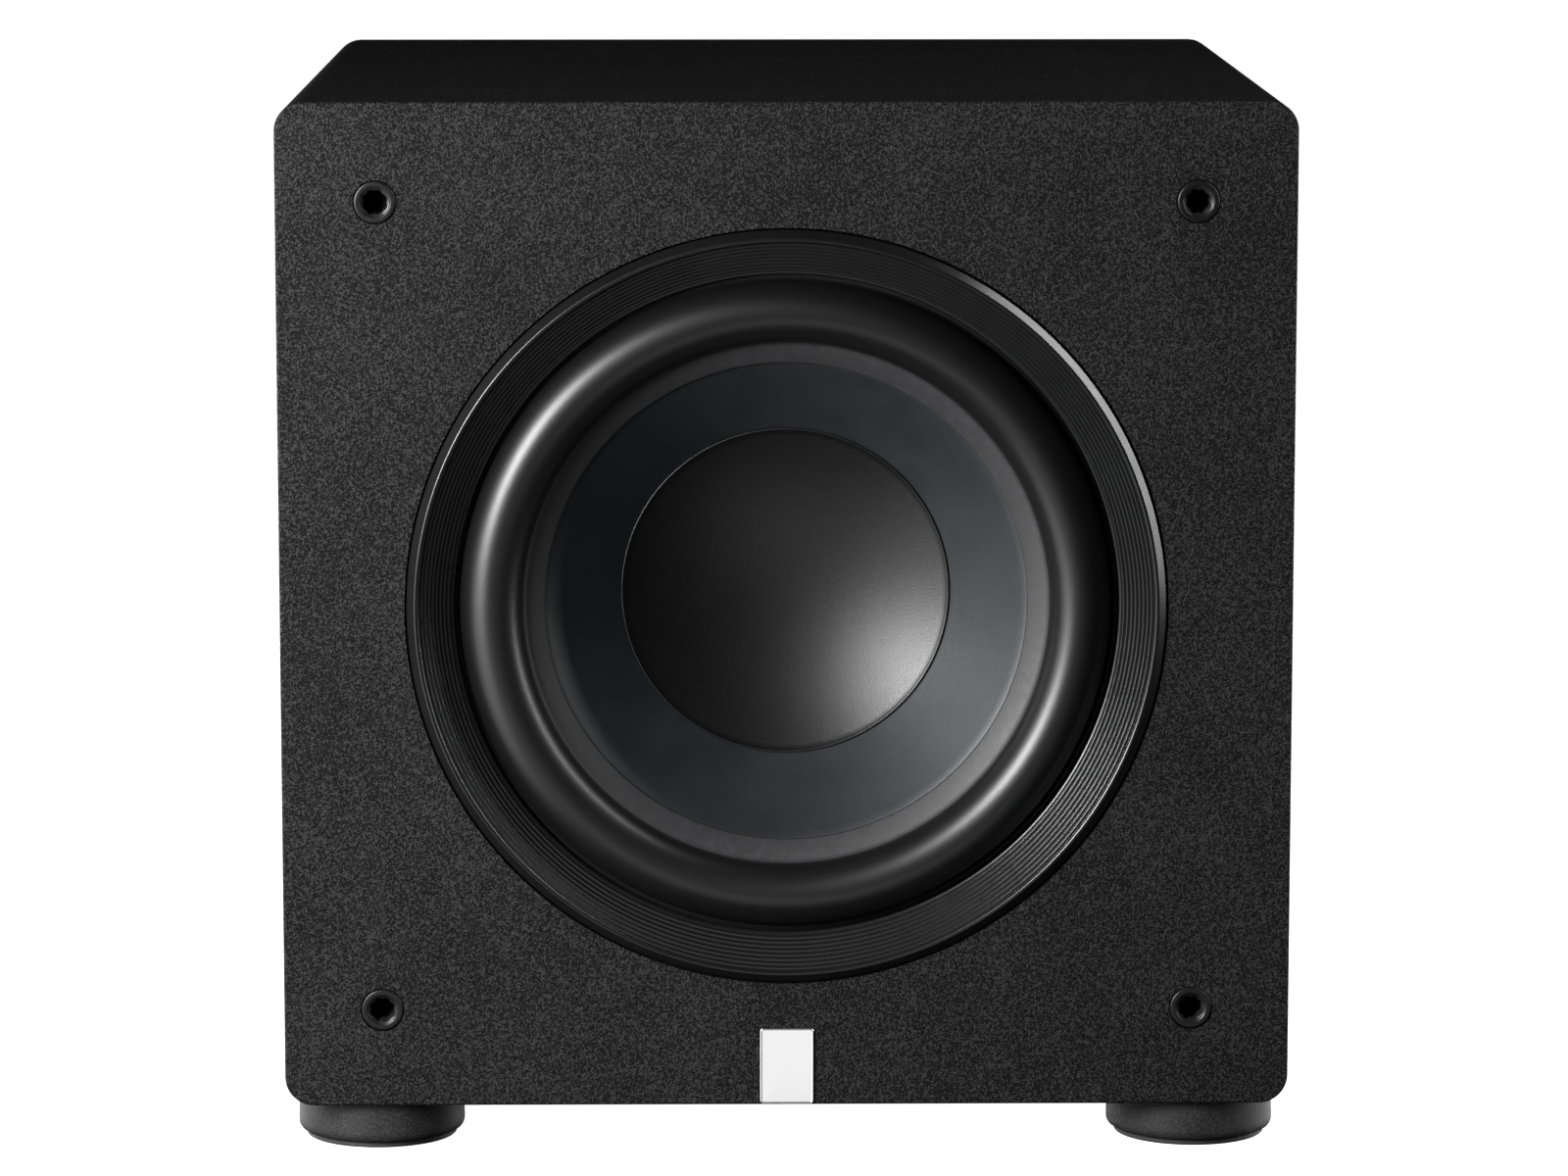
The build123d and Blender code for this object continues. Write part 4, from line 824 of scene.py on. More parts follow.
def fuse_glass(name):
    """A glass tube with plated caps at both ends."""
    recipe = Recipe(name)
    x, _, _ = recipe.place()
    cap = abs(x - float(middle("fuse")[0])).above(float(high("fuse")[0] - low("fuse")[0]) / 2 - 5 * MM)
    tarnish = recipe.noise(2 * MM, 3.0)
    recipe.bump(tarnish, 0.01 * MM)
    return recipe.finish(
        Base_Color=recipe.blend(cap, (0.75, 0.8, 0.8), (0.72, 0.71, 0.67)), Metallic=cap * 1.0,
        Roughness=0.12 + cap * tarnish * 0.3)


def phono_insulation(name):
    """The signal sockets' body: black, with one white and one red core."""
    recipe = Recipe(name)
    x, y, _ = recipe.place()
    core = y.above(PLATE + 1.4 * MM)
    ring = recipe.blend(x.above(float(middle("rca_housing")[0])), (0.55, 0.012, 0.012), (0.75, 0.75, 0.73))
    texture = recipe.noise(0.6 * MM, 3.0)
    recipe.bump(texture, 0.03 * MM)
    return recipe.finish(
        Base_Color=recipe.blend(core, (0.015, 0.015, 0.015), ring), Roughness=0.35 + texture * 0.15)


def printed(name):
    """Screen-printed ink, a little uneven at its edges."""
    settings = bpy.context.scene.subwoofer_amplifier
    recipe = Recipe(name)
    cover = recipe.noise(0.3 * MM, 3.0)
    return recipe.finish(
        Base_Color=recipe.blend(cover, shade(settings.mark_colour, 0.85), settings.mark_colour),
        Roughness=0.55 + cover * 0.1)


MAKERS = {
    "vinyl_textured": vinyl_textured,
    "panel_wood": panel_wood,
    "foot_plastic": foot_plastic,
    "rubber_black": matt_rubber,
    "gloss_black": gloss_black,
    "socket_rubber": socket_rubber,
    "badge_silver": badge_silver,
    "surround_rubber": surround_rubber,
    "cone_paper": cone_paper,
    "cap_paper": cap_paper,
    "cloth_amber": cloth_amber,
    "copper_wire": copper_wire,
    "steel_zinc": lambda name: metal(name, (0.55, 0.55, 0.53), 0.32),
    "steel_black": powder_coat,
    "ferrite": ferrite,
    "felt_lining": felt_lining,
    "gasket_foam": gasket_foam,
    "board_green": board_green,
    "board_tan": board_tan,
    "lead_red": lead_red,
    "black_anodised": lambda name: metal(name, (0.035, 0.035, 0.037), 0.38, streaked=True),
    "component_black": lambda name: moulded(name, (0.02, 0.02, 0.02), 0.3),
    "capacitor_sleeve": capacitor_sleeve,
    "transformer_tape": transformer_tape,
    "nickel": lambda name: metal(name, (0.66, 0.64, 0.58), 0.18),
    "black_nylon": lambda name: moulded(name, (0.018, 0.018, 0.018)),
    "lens_blue": lens_blue,
    "fuse_glass": fuse_glass,
    "screw_black": lambda name: metal(name, (0.05, 0.05, 0.052), 0.3),
    "braid": braided,
    "phono": phono_insulation,
    "ink": printed,
}


def finish_of(slot):
    """The material for a slot, made once."""
    made = bpy.data.materials.get("finish_" + slot)
    return made or MAKERS[slot]("finish_" + slot)


# ============================== the cabinet =======================================================
class SUBWOOFER_OT_wrap(bpy.types.Operator):
    """Makes the wrapped sleeve of top, bottom and sides behind the baffle"""

    bl_idname = "subwoofer.wrap"
    bl_label = "Cabinet wrap"

    def execute(self, context):
        """A closed outline of (inset, depth) carried round the cabinet's rounded rectangle."""
        settings = context.scene.subwoofer_cabinet
        half = (high("top_panel")[2] - low("bottom_panel")[2]) / 2
        start = float(low("top_panel")[1])
        wall = settings.wall
        outline = soften([(0, start, 0.5 * MM), (0, BACK, 1.2 * MM), (wall, BACK, 0.3 * MM),
                          (wall, start, 0.3 * MM)])
        centre = (low("bottom_panel") + high("top_panel")) / 2
        grid = framed(reach("front_baffle"), half, settings.corner, outline, centre)
        piece("cabinet_wrap", [grid], "vinyl_textured", "top_panel", "bottom_panel", "left_panel",
              "right_panel")
        return {"FINISHED"}


class SUBWOOFER_OT_feet(bpy.types.Operator):
    """Makes the four moulded feet and their rubber treads"""

    bl_idname = "subwoofer.feet"
    bl_label = "Feet"

    shell_draft: length_setting("Draft", "How much narrower a foot's top is", 0.4 * MM)
    bore: length_setting("Bore", "Radius of the screw's well", 7.0 * MM)
    hole: length_setting("Hole", "Radius of the screw's hole", 2.5 * MM)
    floor: length_setting("Floor", "Thickness over the well", 8.0 * MM)

    def execute(self, context):
        """Each shell and each tread is a closed outline of (radius, height) turned about Z."""
        settings = context.scene.subwoofer_cabinet
        top = float(high("foot_bodies")[2])
        bottom = float(low("foot_bodies")[2])
        tread_top = float(high("foot_pads")[2])
        radius = 29.3 * MM
        corner = high("foot_bodies") - radius
        centres = [(x, y, 0) for x in (-corner[0], corner[0])
                   for y in (low("foot_bodies")[1] + radius, corner[1])]
        shell = soften(
            [(radius - self.shell_draft, top, 0.3 * MM), (radius, bottom, settings.foot_rounding * 1.5),
             (self.bore, bottom, 0.6 * MM), (self.bore, top - self.floor, 0.5 * MM),
             (self.hole, top - self.floor, 0.4 * MM), (self.hole, top, 0.2 * MM)], steps=6)
        piece("foot_shells", [turned(shell, spot, 128, upright=True) for spot in centres],
              "foot_plastic", "foot_bodies")
        rim = float(high("foot_pads")[0]) - corner[0]
        tread = soften(
            [(rim, tread_top, 0.2 * MM), (rim, 0, 0.8 * MM), (rim - 5 * MM, 0, 0.3 * MM),
             (rim - 5.5 * MM, 0.7 * MM, 0.3 * MM), (rim - 6.5 * MM, 0.7 * MM, 0.3 * MM),
             (rim - 7 * MM, 0, 0.3 * MM), (self.bore, 0, 0.6 * MM), (self.bore, tread_top, 0.2 * MM)])
        piece("foot_treads", [turned(tread, spot, 96, upright=True) for spot in centres],
              "rubber_black", "foot_pads")
        return {"FINISHED"}


class SUBWOOFER_OT_sockets(bpy.types.Operator):
    """Makes the four moulded grille sockets with their lobed holes"""

    bl_idname = "subwoofer.sockets"
    bl_label = "Grille sockets"

    lobe: length_setting("Lobe", "How far a gripping lobe stands into the hole", 0.42 * MM)

    def execute(self, context):
        """An outline of (radius, depth) turned about Y; the hole's rows carry a rounded star.

        The star takes from the radius the lobe height times the cosine of the lobe count times
        the angle, raised to keep the lobes narrow, and fades in below the rim's bevel.
        """
        settings = context.scene.subwoofer_cabinet
        head = 7.25 * MM
        corner = high("grille_sockets") - head
        centres = [(x, 0, z) for x in (-corner[0], corner[0])
                   for z in (low("grille_sockets")[2] + head, corner[2])]
        front = float(low("grille_sockets")[1])
        back = float(high("grille_sockets")[1])
        seat = front + 3.0 * MM
        outline = soften(
            [(head, front, 1.0 * MM), (5.35 * MM, front, 0.3 * MM),
             (4.95 * MM, front + 0.35 * MM, 0.15 * MM), (4.55 * MM, front + 0.45 * MM, 0.15 * MM),
             (4.3 * MM, front + 0.9 * MM, 0.3 * MM), (4.3 * MM, front + 11.0 * MM, 0.4 * MM),
             (3.3 * MM, front + 12.3 * MM, 0.4 * MM), (0.9 * MM, front + 12.5 * MM, 0.3 * MM),
             (0.9 * MM, back, 0.3 * MM), (5.0 * MM, back, 1.2 * MM), (5.0 * MM, seat, 0.3 * MM),
             (head, seat, 0.3 * MM)], steps=5)
        inside = np.clip((4.62 * MM - outline[:, 0]) / (0.3 * MM), 0, 1)
        fade = inside * (outline[:, 0] > 2 * MM)

        def star(angle):
            lobes = ((1 + np.cos(settings.socket_lobes * angle)) / 2) ** 1.5
            return -self.lobe * fade[:, None] * lobes[None, :]

        piece("socket_grommets", [turned(outline, spot, 192, ripple=star) for spot in centres],
              "socket_rubber", "grille_sockets")
        return {"FINISHED"}


class SUBWOOFER_OT_badge(bpy.types.Operator):
    """Makes the plain silver badge under the woofer"""

    bl_idname = "subwoofer.badge"
    bl_label = "Badge"

    def execute(self, context):
        """Rounded rectangles of (inset, depth): a bright cut edge round a field let in slightly."""
        settings = context.scene.subwoofer_cabinet
        least = low("badge")
        most = high("badge")
        half = (most - least) / 2
        bevel = settings.badge_bevel
        face = float(least[1])
        profile = np.array([(0, most[1]), (0, face + bevel), (0.1 * MM, face + 0.5 * bevel),
                            (bevel, face), (bevel * 2.1, face), (bevel * 2.4, face + 0.04 * MM),
                            (bevel * 2.8, face + 0.12 * MM), (bevel * 3.2, face + 0.13 * MM)])
        grid = framed(half[0], half[2], 1.3 * MM, profile, (least + most) / 2)
        piece("badge_plate", [grid], "badge_silver", "badge", closed=False)
        return {"FINISHED"}


# ============================== the woofer ========================================================
class SUBWOOFER_OT_ring(bpy.types.Operator):
    """Makes the trim ring, with its glossy outer slope and the turned grooves inside it"""

    bl_idname = "subwoofer.ring"
    bl_label = "Trim ring"

    def execute(self, context):
        """A closed outline of (radius, depth) turned about Y.

        Inside the crest a stair of equal steps leads down to the throat; each step goes back by
        the slope's depth over the groove count, then inward by its run over the count, and its
        outer edge is rounded.
        """
        settings = context.scene.subwoofer_woofer
        rim = reach("trim_ring")
        face = float(low("trim_ring")[1])
        seat = FRONT + 8.0 * MM
        crest = rim - settings.ring_bevel
        throat = rim - 16.0 * MM
        start = np.array([rim - 4.2 * MM, face + 0.35 * MM])
        end = np.array([throat + 0.1 * MM, FRONT + 8.3 * MM])
        outer = soften(
            [(throat + 2.4 * MM, seat, 0.1 * MM), (rim, seat, 0.3 * MM), (rim, FRONT + 0.45 * MM, 0.15 * MM),
             (rim - 0.1 * MM, FRONT + 0.3 * MM, 0.15 * MM), (crest, face, 0.3 * MM),
             (crest - 0.75 * MM, face, 0.2 * MM), (*start, 0.1 * MM)], closed=False)
        step = (end - start) / settings.groove_count
        stairs = [(*start, settings.groove_rounding)]
        for count in range(settings.groove_count):
            edge = start + step * count
            stairs += [(edge[0], edge[1] + step[1], 0.12 * MM), (*(edge + step), settings.groove_rounding)]
        grooves = soften(stairs, closed=False, steps=5)
        inner = np.array([(throat, FRONT + 9.3 * MM), (throat + 0.4 * MM, FRONT + 12 * MM),
                          (throat + 2.4 * MM, FRONT + 12 * MM)])
        outline = np.concatenate([outer[:-1], grooves, inner])
        grid = turned(outline, AXIS, 320)
        piece("groove_ring", [grid], "gloss_black", "trim_ring")
        return {"FINISHED"}


class SUBWOOFER_OT_surround(bpy.types.Operator):
    """Makes the half-roll surround, glued to the frame outside and to the cone inside"""

    bl_idname = "subwoofer.surround"
    bl_label = "Surround"

    def execute(self, context):
        """A flat rim, a half circle that bulges forward, and a lip that lies on the cone's slope.

        The outline is closed behind by a smaller half circle, 1.2 mm inside the first, and turned
        about Y.
        """
        settings = context.scene.subwoofer_woofer
        rim = reach("surround")
        plane = FRONT + 12.0 * MM
        gauge = 1.2 * MM
        half = settings.roll_width / 2
        outer_foot = rim - 4.6 * MM
        roll = outer_foot - half
        inner_foot = roll - half
        lip = inner_foot - 7.6 * MM
        lip_drop = 4.4 * MM
        front = arc((roll, plane), half, 0, -180, 48)
        behind = arc((roll, plane), half - gauge, -180, 0, 48)
        lead_in = [(rim, plane), (outer_foot + 1.2 * MM, plane), (outer_foot + 0.35 * MM, plane - 0.25 * MM)]
        lip_top = [(inner_foot - 0.3 * MM, plane + 0.1 * MM), (inner_foot - 1.4 * MM, plane + 0.75 * MM),
                   (lip + 0.35 * MM, plane + lip_drop - 0.2 * MM), (lip, plane + lip_drop + 0.2 * MM),
                   (lip, plane + lip_drop + 0.8 * MM), (inner_foot, plane + 0.8 * MM)]
        close = [(outer_foot - gauge, plane + 1.4 * MM), (rim, plane + 1.4 * MM)]
        outline = np.concatenate([lead_in, front[2:-1], lip_top, behind, close])
        grid = turned(outline, AXIS, 320)
        made = piece("surround_roll", [grid], "surround_rubber", "surround", body=None)
        bend_with_cone(made)
        return {"FINISHED"}


class SUBWOOFER_OT_cone(bpy.types.Operator):
    """Makes the cone's shell, with a flange for the surround at its edge"""

    bl_idname = "subwoofer.cone"
    bl_label = "Cone"

    def execute(self, context):
        """An outline of (radius, depth): a flange for the surround, a straight slope and a neck."""
        rim = reach("cone")
        shelf = rim - 7.6 * MM
        edge = float(low("cone")[1])
        skirt = float(high("cone")[1])
        bend = edge + 4.4 * MM
        slope = 1.02
        throat = bend + (shelf - NECK) * slope
        wall = 1.7 * MM
        outline = soften(
            [(rim, edge, 0.2 * MM), (shelf, bend, 3.0 * MM), (NECK, throat, 1.0 * MM),
             (NECK, skirt, 0.3 * MM), (NECK + wall, skirt, 0.3 * MM),
             (NECK + wall, throat - wall * slope + wall, 1.5 * MM), (shelf, bend + wall, 3.0 * MM),
             (rim, edge + wall, 0.2 * MM)], steps=6)
        grid = turned(outline, AXIS, 256)
        piece("cone_shell", [grid], "cone_paper", "cone", body="cone_assembly")
        return {"FINISHED"}


class SUBWOOFER_OT_dust_cap(bpy.types.Operator):
    """Makes the dished dust cap with its rolled rim"""

    bl_idname = "subwoofer.dust_cap"
    bl_label = "Dust cap"

    def execute(self, context):
        """A shallow bowl: depth is the sag times (1 - (r/R)^2), and a small rolled edge."""
        settings = context.scene.subwoofer_woofer
        rim = reach("dust_cap")
        edge = float(low("dust_cap")[1])
        gauge = 0.8 * MM
        share = np.linspace(0, 1, 36)
        bowl = np.stack([share * (rim - 1.2 * MM),
                         edge + 0.6 * MM + (settings.cap_sag - 0.8 * MM) * (1 - share ** 2)], 1)
        hem = np.array([(-0.95, 0.32), (-0.7, 0.1), (-0.4, 0.0), (-0.12, 0.1), (0, 0.4), (-0.1, 0.9)]) * MM
        hem += (rim, edge)
        under = (bowl + [[0, gauge]])[::-1]
        outline = np.concatenate([bowl, hem, under])
        outline[0, 0] = 0
        outline[-1, 0] = 0
        grid = turned(outline, AXIS, 256)
        piece("cap_dish", [grid], "cap_paper", "dust_cap", body="cone_assembly", closed=False)
        return {"FINISHED"}


class SUBWOOFER_OT_suspension(bpy.types.Operator):
    """Makes the pressed spider and the two braided tinsel leads behind the cone"""

    bl_idname = "subwoofer.suspension"
    bl_label = "Spider and leads"

    def execute(self, context):
        """The spider's depth is its wave height times the sine of the radius, waves times pi.

        The leads are round tubes on parabolas through their routes.
        """
        settings = context.scene.subwoofer_woofer
        least = low("spider")
        rim = reach("spider")
        plane = float(least[1] + high("spider")[1]) / 2
        wave = float(high("spider")[1] - least[1]) / 2 - 0.4 * MM
        inner = NECK + 5.1 * MM
        outer = rim - 12 * MM
        radius = np.concatenate([[NECK], np.linspace(inner, outer, 84), [outer + 1 * MM, rim]])
        share = np.clip((radius - inner) / (outer - inner), 0, 1)
        depth = plane + wave * np.sin(np.pi * settings.spider_waves * share) * (share < 1)
        top = np.stack([radius, depth - 0.4 * MM], 1)
        under = np.stack([radius, depth + 0.4 * MM], 1)[::-1]
        outline = np.concatenate([top, under])
        made = piece("spider_disc", [turned(outline, AXIS, 256)], "cloth_amber", "spider", body=None)
        bend_with_cone(made)
        route = MM * np.array([
            (11, 60.4, 145), (11, 69, 135), (11, 73, 119), (11, 70.5, 103), (11, 65, 91.2)])
        route[:, 1] += FRONT
        grids = [followed(route * [side, 1, 1], 0.8 * MM, 14) for side in (-1, 1)]
        made = piece("tinsel_braids", grids, "copper_wire", "tinsel_leads", body=None, closed=False,
                     finish="braid", uv=True)
        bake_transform(made)
        return {"FINISHED"}


class SUBWOOFER_OT_lining(bpy.types.Operator):
    """Makes the batting that lines the cabinet's walls"""

    bl_idname = "subwoofer.lining"
    bl_label = "Lining pads"

    def execute(self, context):
        """Three rounded pillows whose faces rise and dip by long sine waves."""
        least = low("lining_pads")
        most = high("lining_pads")
        thick = 20 * MM
        bottom = 61 * MM
        top_side = 321 * MM
        boxes = [((least[0], least[1], bottom), (least[0] + thick, most[1], top_side)),
                 ((most[0] - thick, least[1], bottom), (most[0], most[1], top_side)),
                 ((-130 * MM, least[1], most[2] - thick), (130 * MM, most[1], most[2]))]
        grids = [pillow(np.array(start), np.array(end), swell=0.03) for start, end in boxes]
        made = piece("lining_pillows", grids, "felt_lining", "lining_pads", closed=False)
        return {"FINISHED"}


# ============================== the amplifier's plate =============================================
def knob_grid(node, flutes):
    """A knob's outline of (radius, depth) turned about Y, with flutes in its side and a dished end.

    Each flute takes up to 0.35 mm from the side's radius, as a half cosine raised to the fourth.
    """
    rim = reach(node)
    seat = float(low(node)[1])
    end = float(high(node)[1])
    bore = 3.02 * MM
    well = end - 3.5 * MM
    outline = soften(
        [(bore, seat, 0.3 * MM), (rim, seat, 0.3 * MM), (rim - 0.15 * MM, seat + 1.6 * MM, 0.3 * MM),
         (rim - 0.7 * MM, seat + 2.0 * MM, 0.3 * MM), (rim - 1.0 * MM, end, 0.9 * MM),
         (rim - 3.2 * MM, end, 0.5 * MM), (rim - 4.2 * MM, end - 0.5 * MM, 0.5 * MM),
         (0, end - 0.7 * MM, 0.1 * MM)], closed=False, steps=4)
    inside = [(0, well), (bore, well)]
    outline = np.concatenate([inside, outline])
    side = np.clip((outline[:, 0] - rim + 3.2 * MM) / (1.2 * MM), 0, 1)
    side *= np.clip((outline[:, 1] - seat - 1.7 * MM) / (0.6 * MM), 0, 1)

    def fluted(angle):
        return -0.35 * MM * side[:, None] * np.cos(flutes * angle / 2)[None, :] ** 4

    return turned(outline, middle(node), flutes * 12, ripple=fluted)


class SUBWOOFER_OT_knobs(bpy.types.Operator):
    """Makes the volume and crossover knobs, their white pointers and the dial marks round them"""

    bl_idname = "subwoofer.knobs"
    bl_label = "Knobs and dials"

    def execute(self, context):
        """Fluted caps of revolution; pointers and marks are thin rounded bars."""
        settings = context.scene.subwoofer_amplifier
        sweep = np.radians(np.linspace(-150, 150, settings.mark_count))
        for name, node in (("volume_cap", "volume_knob"), ("crossover_cap", "crossover_knob")):
            body = body_of(node)
            piece(name, [knob_grid(node, settings.knob_flutes)], "black_nylon", node, body=body, closed=False)
            centre = middle(node)
            end = float(high(node)[1])
            bar = plate_bars([centre[0]], [centre[2] + 3.9 * MM], [0.0], 0.45 * MM, 2.4 * MM,
                             end - 1.0 * MM, end - 0.1 * MM)
            piece(name.replace("cap", "pointer"), bar, "black_nylon", body=body, closed=False, finish="ink")
            spread = 12.6 * MM
            marks = plate_bars(centre[0] + spread * np.sin(sweep), centre[2] + spread * np.cos(sweep), sweep,
                               0.3 * MM, 1.1 * MM, PLATE - 0.1 * MM, PLATE + 0.05 * MM)
            piece(name.replace("cap", "dial"), marks, "steel_black", closed=False, finish="ink")
        return {"FINISHED"}


def body_of(node):
    """The name of the body that a CAD node rides on."""
    return next(name for name, nodes in frame["record"]["behaviour"]["bodies"].items() if node in nodes)


def plate_bars(across, up, turn, half_width, half_length, start, end):
    """Thin bars on the plate, each a rounded rectangle turned about Y by its angle.

    Each bar's outline is framed about the axis, turned by the angle and moved to its place.
    """
    grids = []
    profile = np.array([(0.0, start), (0.0, end - 0.02 * MM), (0.03 * MM, end)])
    bar = framed(half_width, half_length, half_width * 0.6, profile, (0, 0, 0), 3)
    for x, z, angle in zip(across, up, turn):
        grid = bar.copy()
        grid[..., 0] = x + bar[..., 0] * np.cos(angle) + bar[..., 2] * np.sin(angle)
        grid[..., 2] = z - bar[..., 0] * np.sin(angle) + bar[..., 2] * np.cos(angle)
        grids.append(grid)
    return grids


def screw_grid(x, z, seat, length, dome):
    """A pan-head screw turned about Y: a dished cross recess, a domed head and a plain shank.

    The recess's radius is 0.55 mm plus 1.15 mm times the absolute cosine of twice the angle to the
    sixth power; it shrinks to 0.7 of itself at the floor. The dome's rows are a quarter ellipse.
    """
    head = 3.6 * MM
    shank = 1.9 * MM
    tilt = np.radians(np.array([58, 42, 28, 14, 4]))
    dome_rows = np.stack([head * np.cos(tilt), seat + dome * (0.25 + 0.75 * np.sin(tilt))], 1)
    top = seat + dome
    profile = np.concatenate([
        [(0, top - 1.2 * MM), (0.385 * MM, top - 1.15 * MM), (0.55 * MM, top - 0.02 * MM), (0.62 * MM, top)],
        [(2.2 * MM, top - 0.03 * MM)] if dome > 3 * MM else dome_rows[:0],
        dome_rows, [(head, seat + 0.2 * dome), (head, seat + 0.1 * MM), (head - 0.1 * MM, seat),
                    (shank + 0.1 * MM, seat), (shank, seat - 0.1 * MM), (shank, seat - length + 0.8 * MM),
                    (shank * 0.5, seat - length), (0, seat - length)]])
    share = np.zeros(len(profile))
    share[1:4] = (0.7, 1.0, 1.0)

    def cross(angle):
        arms = np.abs(np.cos(2 * angle)) ** 6
        return 1.15 * MM * share[:, None] * arms[None, :]

    return turned(profile, (x, 0, z), 64, ripple=cross)


class SUBWOOFER_OT_screws(bpy.types.Operator):
    """Makes the screws that hold the amplifier's plate and its heat sink"""

    bl_idname = "subwoofer.screws"
    bl_label = "Amplifier screws"

    def execute(self, context):
        """Five screws up each side of the plate, one at its top and bottom, and four in the sink."""
        settings = context.scene.subwoofer_amplifier
        centre = middle("amp_plate")
        half = (high("amp_plate") - low("amp_plate"))[[0, 2]] / 2 - 7.5 * MM
        rise = np.linspace(-half[1], half[1], 5)
        spots = [(side * half[0], centre[2] + up, PLATE, 18 * MM) for side in (-1, 1) for up in rise]
        spots += [(0, centre[2] + up, PLATE, 18 * MM) for up in (-half[1], half[1])]
        sink = high("heat_sink")
        flange = PLATE + 3 * MM
        spots += [(side * (sink[0] - 4.6 * MM), z, flange, 5.5 * MM) for side in (-1, 1)
                  for z in (low("heat_sink")[2] + 10 * MM, sink[2] - 10 * MM)]
        grids = [screw_grid(*spot, settings.screw_dome) for spot in spots]
        piece("amplifier_screws", grids, "steel_black", "amp_screws", closed=False, finish="screw_black")
        return {"FINISHED"}


class SUBWOOFER_OT_finishes(bpy.types.Operator):
    """Gives every part that keeps its modelled shape the finish that its slot names"""

    bl_idname = "subwoofer.finishes"
    bl_label = "Finishes"

    def execute(self, context):
        own = {"rca_housing": "phono", "top_panel": "vinyl_textured"}
        for part in frame["record"]["subparts"]:
            node = frame["nodes"][part["node"]]
            chosen = finish_of(own.get(part["node"], part["material_slot"]))
            for place in node.material_slots:
                place.material = chosen
        return {"FINISHED"}


# ============================== the studio ========================================================
def softbox(name, toward, distance, width, height, power, aim):
    """A rectangular area light that only the object sees, along a direction from what it aims at."""
    toward = Vector(toward).normalized()
    light = bpy.data.lights.new(name, "AREA")
    light.shape = "RECTANGLE"
    light.size = width
    light.size_y = height
    light.energy = power * bpy.context.scene.subwoofer_studio.light
    holder = bpy.data.objects.new(name, light)
    holder.location = Vector(aim) + toward * distance
    holder.rotation_euler = (-toward).to_track_quat("-Z", "Y").to_euler()
    holder.visible_camera = False
    bpy.context.scene.collection.objects.link(holder)


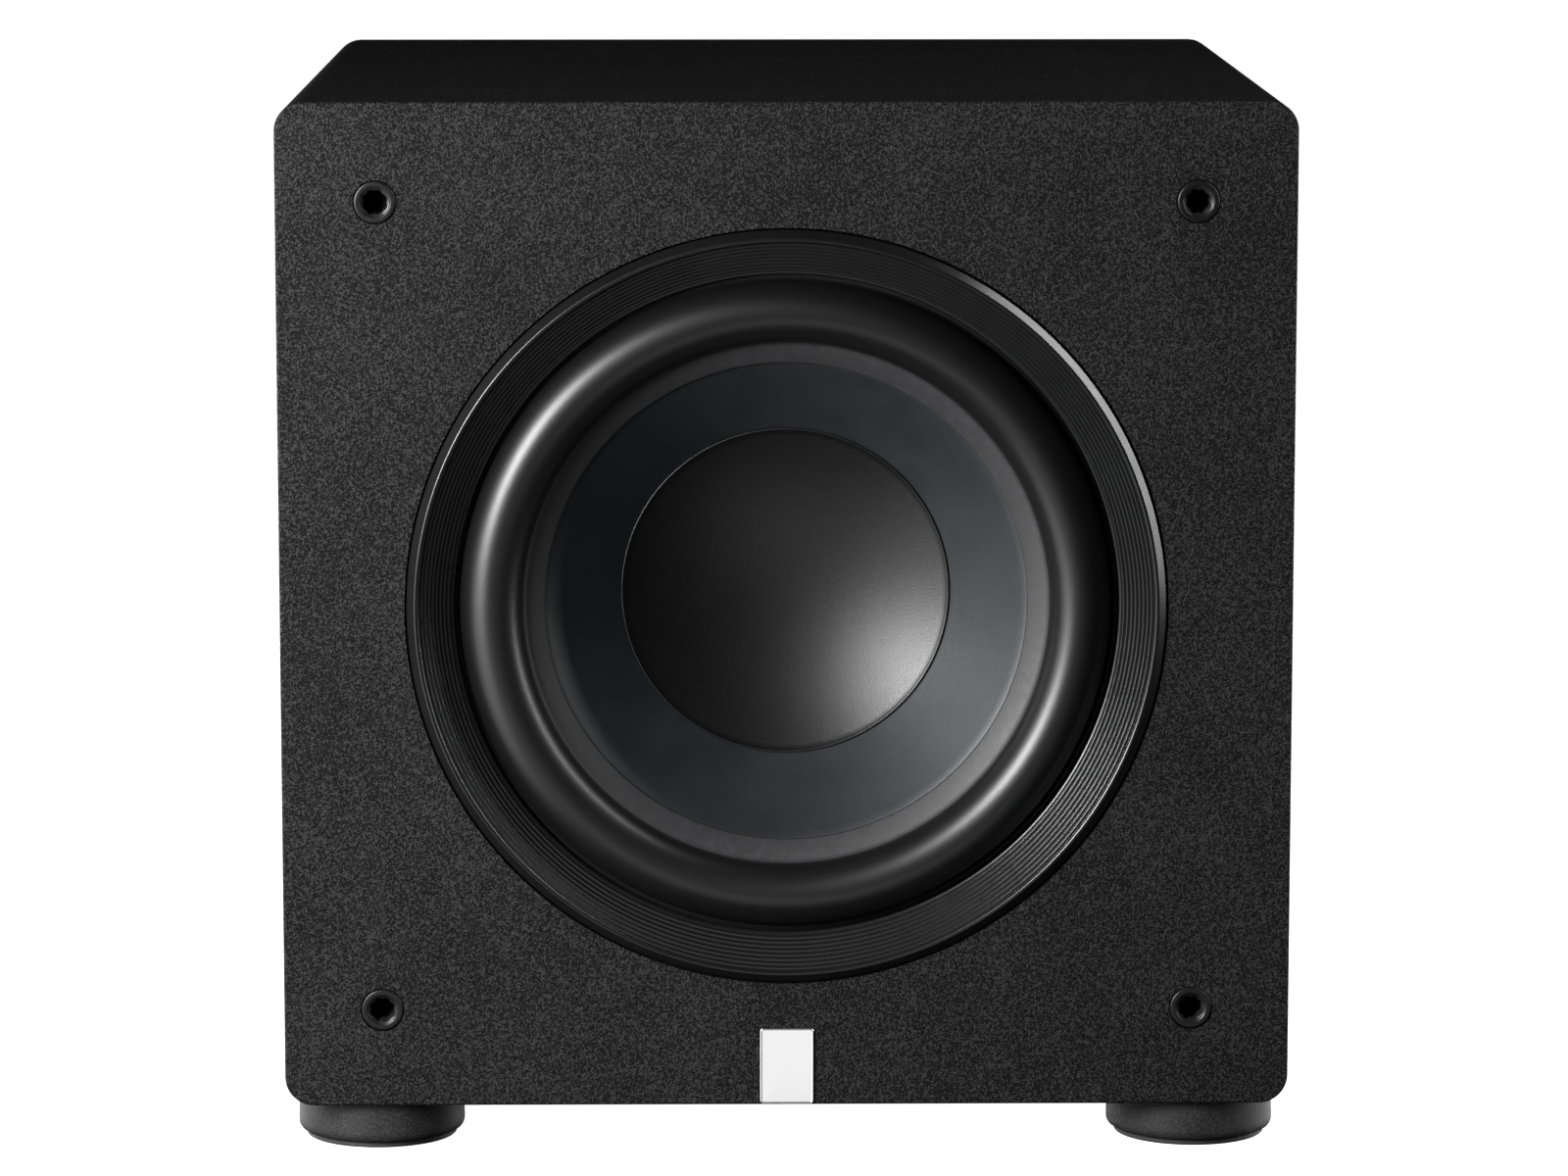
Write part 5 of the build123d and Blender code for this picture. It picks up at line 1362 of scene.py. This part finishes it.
class SUBWOOFER_OT_studio(bpy.types.Operator):
    """Makes the camera, the pale floor and the softboxes"""

    bl_idname = "subwoofer.studio"
    bl_label = "Studio"

    def execute(self, context):
        settings = context.scene.subwoofer_studio
        scene = context.scene
        scene.view_settings.view_transform = "Standard"
        camera = bpy.data.cameras.new("camera")
        camera.lens = settings.lens
        camera.sensor_width = 36
        camera.clip_end = 100
        holder = bpy.data.objects.new("camera", camera)
        where = Vector((settings.side, FRONT - settings.distance, settings.height))
        aim = Vector((-1 * MM, FRONT, AXIS[2] + 7.4 * MM))
        holder.location = where
        holder.rotation_euler = (aim - where).to_track_quat("-Z", "Y").to_euler()
        scene.collection.objects.link(holder)
        scene.camera = holder

        world = bpy.data.worlds.new("studio_world")
        world.use_nodes = True
        sky = world.node_tree.nodes["Background"]
        sky.inputs["Color"].default_value = (1, 1, 1, 1)
        sky.inputs["Strength"].default_value = 1.0
        world.cycles_visibility.diffuse = False
        world.cycles_visibility.glossy = False
        scene.world = world

        recipe = Recipe("finish_floor")
        cloud = recipe.noise(0.9, 2.0)
        floor_finish = recipe.finish(
            Base_Color=recipe.blend(cloud, (0.78, 0.78, 0.78), (0.82, 0.82, 0.82)), Roughness=0.9,
            Emission_Color=(1, 1, 1), Emission_Strength=1.02, Specular_IOR_Level=0.0)
        span = settings.floor_size / 2
        mesh = bpy.data.meshes.new("studio_floor")
        mesh.from_pydata([(-span, -span, 0), (span, -span, 0), (span, span, 0), (-span, span, 0)], [],
                         [(0, 1, 2, 3)])
        mesh.materials.append(floor_finish)
        floor = bpy.data.objects.new("studio_floor", mesh)
        floor.visible_glossy = False
        floor.visible_diffuse = False
        floor.visible_shadow = False
        scene.collection.objects.link(floor)

        woofer = np.array([0, FRONT, AXIS[2]])
        sides = (0, 0, 0.14)
        plate = middle("amp_plate")
        softboxes = (
            ("key", (-0.64, -0.67, 0.27), 1.1, 0.4, 0.4, 25, woofer),
            ("left_strip", (-0.82, -0.57, 0.0), 0.6, 0.42, 0.8, 2.4, woofer),
            ("ring_strip", (0.88, -0.06, 0.4), 1.2, 0.12, 1.3, 12, woofer),
            ("floor_bounce", (0, -0.55, -0.31), 0.63, 0.4, 0.25, 0.3, woofer),
            ("side_right", (1, 0.12, -0.05), 0.8, 0.5, 0.16, 3, sides),
            ("side_left", (-1, 0.12, -0.05), 0.8, 0.5, 0.16, 3, sides),
            ("rear_left", (-0.75, 0.65, -0.12), 1.6, 1.0, 0.3, 24, plate),
            ("rear_right", (0.8, 0.6, -0.12), 1.6, 1.0, 0.3, 18, plate))
        for box in softboxes:
            softbox(*box)
        return {"FINISHED"}


# ============================== the add-on ========================================================
STEPS = ("studio", "wrap", "feet", "sockets", "badge", "ring", "surround", "cone", "dust_cap",
         "suspension", "lining", "knobs", "screws", "finishes")
SETTINGS = {"subwoofer_cabinet": CabinetSettings, "subwoofer_woofer": WooferSettings,
            "subwoofer_amplifier": AmplifierSettings, "subwoofer_studio": StudioSettings}


class SUBWOOFER_PT_maker(bpy.types.Panel):
    """Lists the settings and the steps that make the subwoofer"""

    bl_idname = "SUBWOOFER_PT_maker"
    bl_label = "Subwoofer Maker"
    bl_space_type = "VIEW_3D"
    bl_region_type = "UI"
    bl_category = "Subwoofer"

    def draw(self, context):
        for key, group in SETTINGS.items():
            box = self.layout.box()
            for name in group.__annotations__:
                box.prop(getattr(context.scene, key), name)
        for step in STEPS:
            self.layout.operator("subwoofer." + step)


CLASSES = (CabinetSettings, WooferSettings, AmplifierSettings, StudioSettings, SUBWOOFER_OT_studio,
           SUBWOOFER_OT_wrap, SUBWOOFER_OT_feet, SUBWOOFER_OT_sockets, SUBWOOFER_OT_badge,
           SUBWOOFER_OT_ring, SUBWOOFER_OT_surround, SUBWOOFER_OT_cone, SUBWOOFER_OT_dust_cap,
           SUBWOOFER_OT_suspension, SUBWOOFER_OT_lining, SUBWOOFER_OT_knobs, SUBWOOFER_OT_screws,
           SUBWOOFER_OT_finishes, SUBWOOFER_PT_maker)


def register():
    """Registers every class and hangs the settings on the scene."""
    for made in CLASSES:
        bpy.utils.register_class(made)
    for key, group in SETTINGS.items():
        setattr(bpy.types.Scene, key, PointerProperty(type=group))


def unregister():
    """Takes the settings and the classes away again."""
    for key in SETTINGS:
        delattr(bpy.types.Scene, key)
    for made in reversed(CLASSES):
        bpy.utils.unregister_class(made)


def main():
    register()
    for step in STEPS:
        getattr(bpy.ops.subwoofer, step)()


if __name__ == "__main__":
    main()
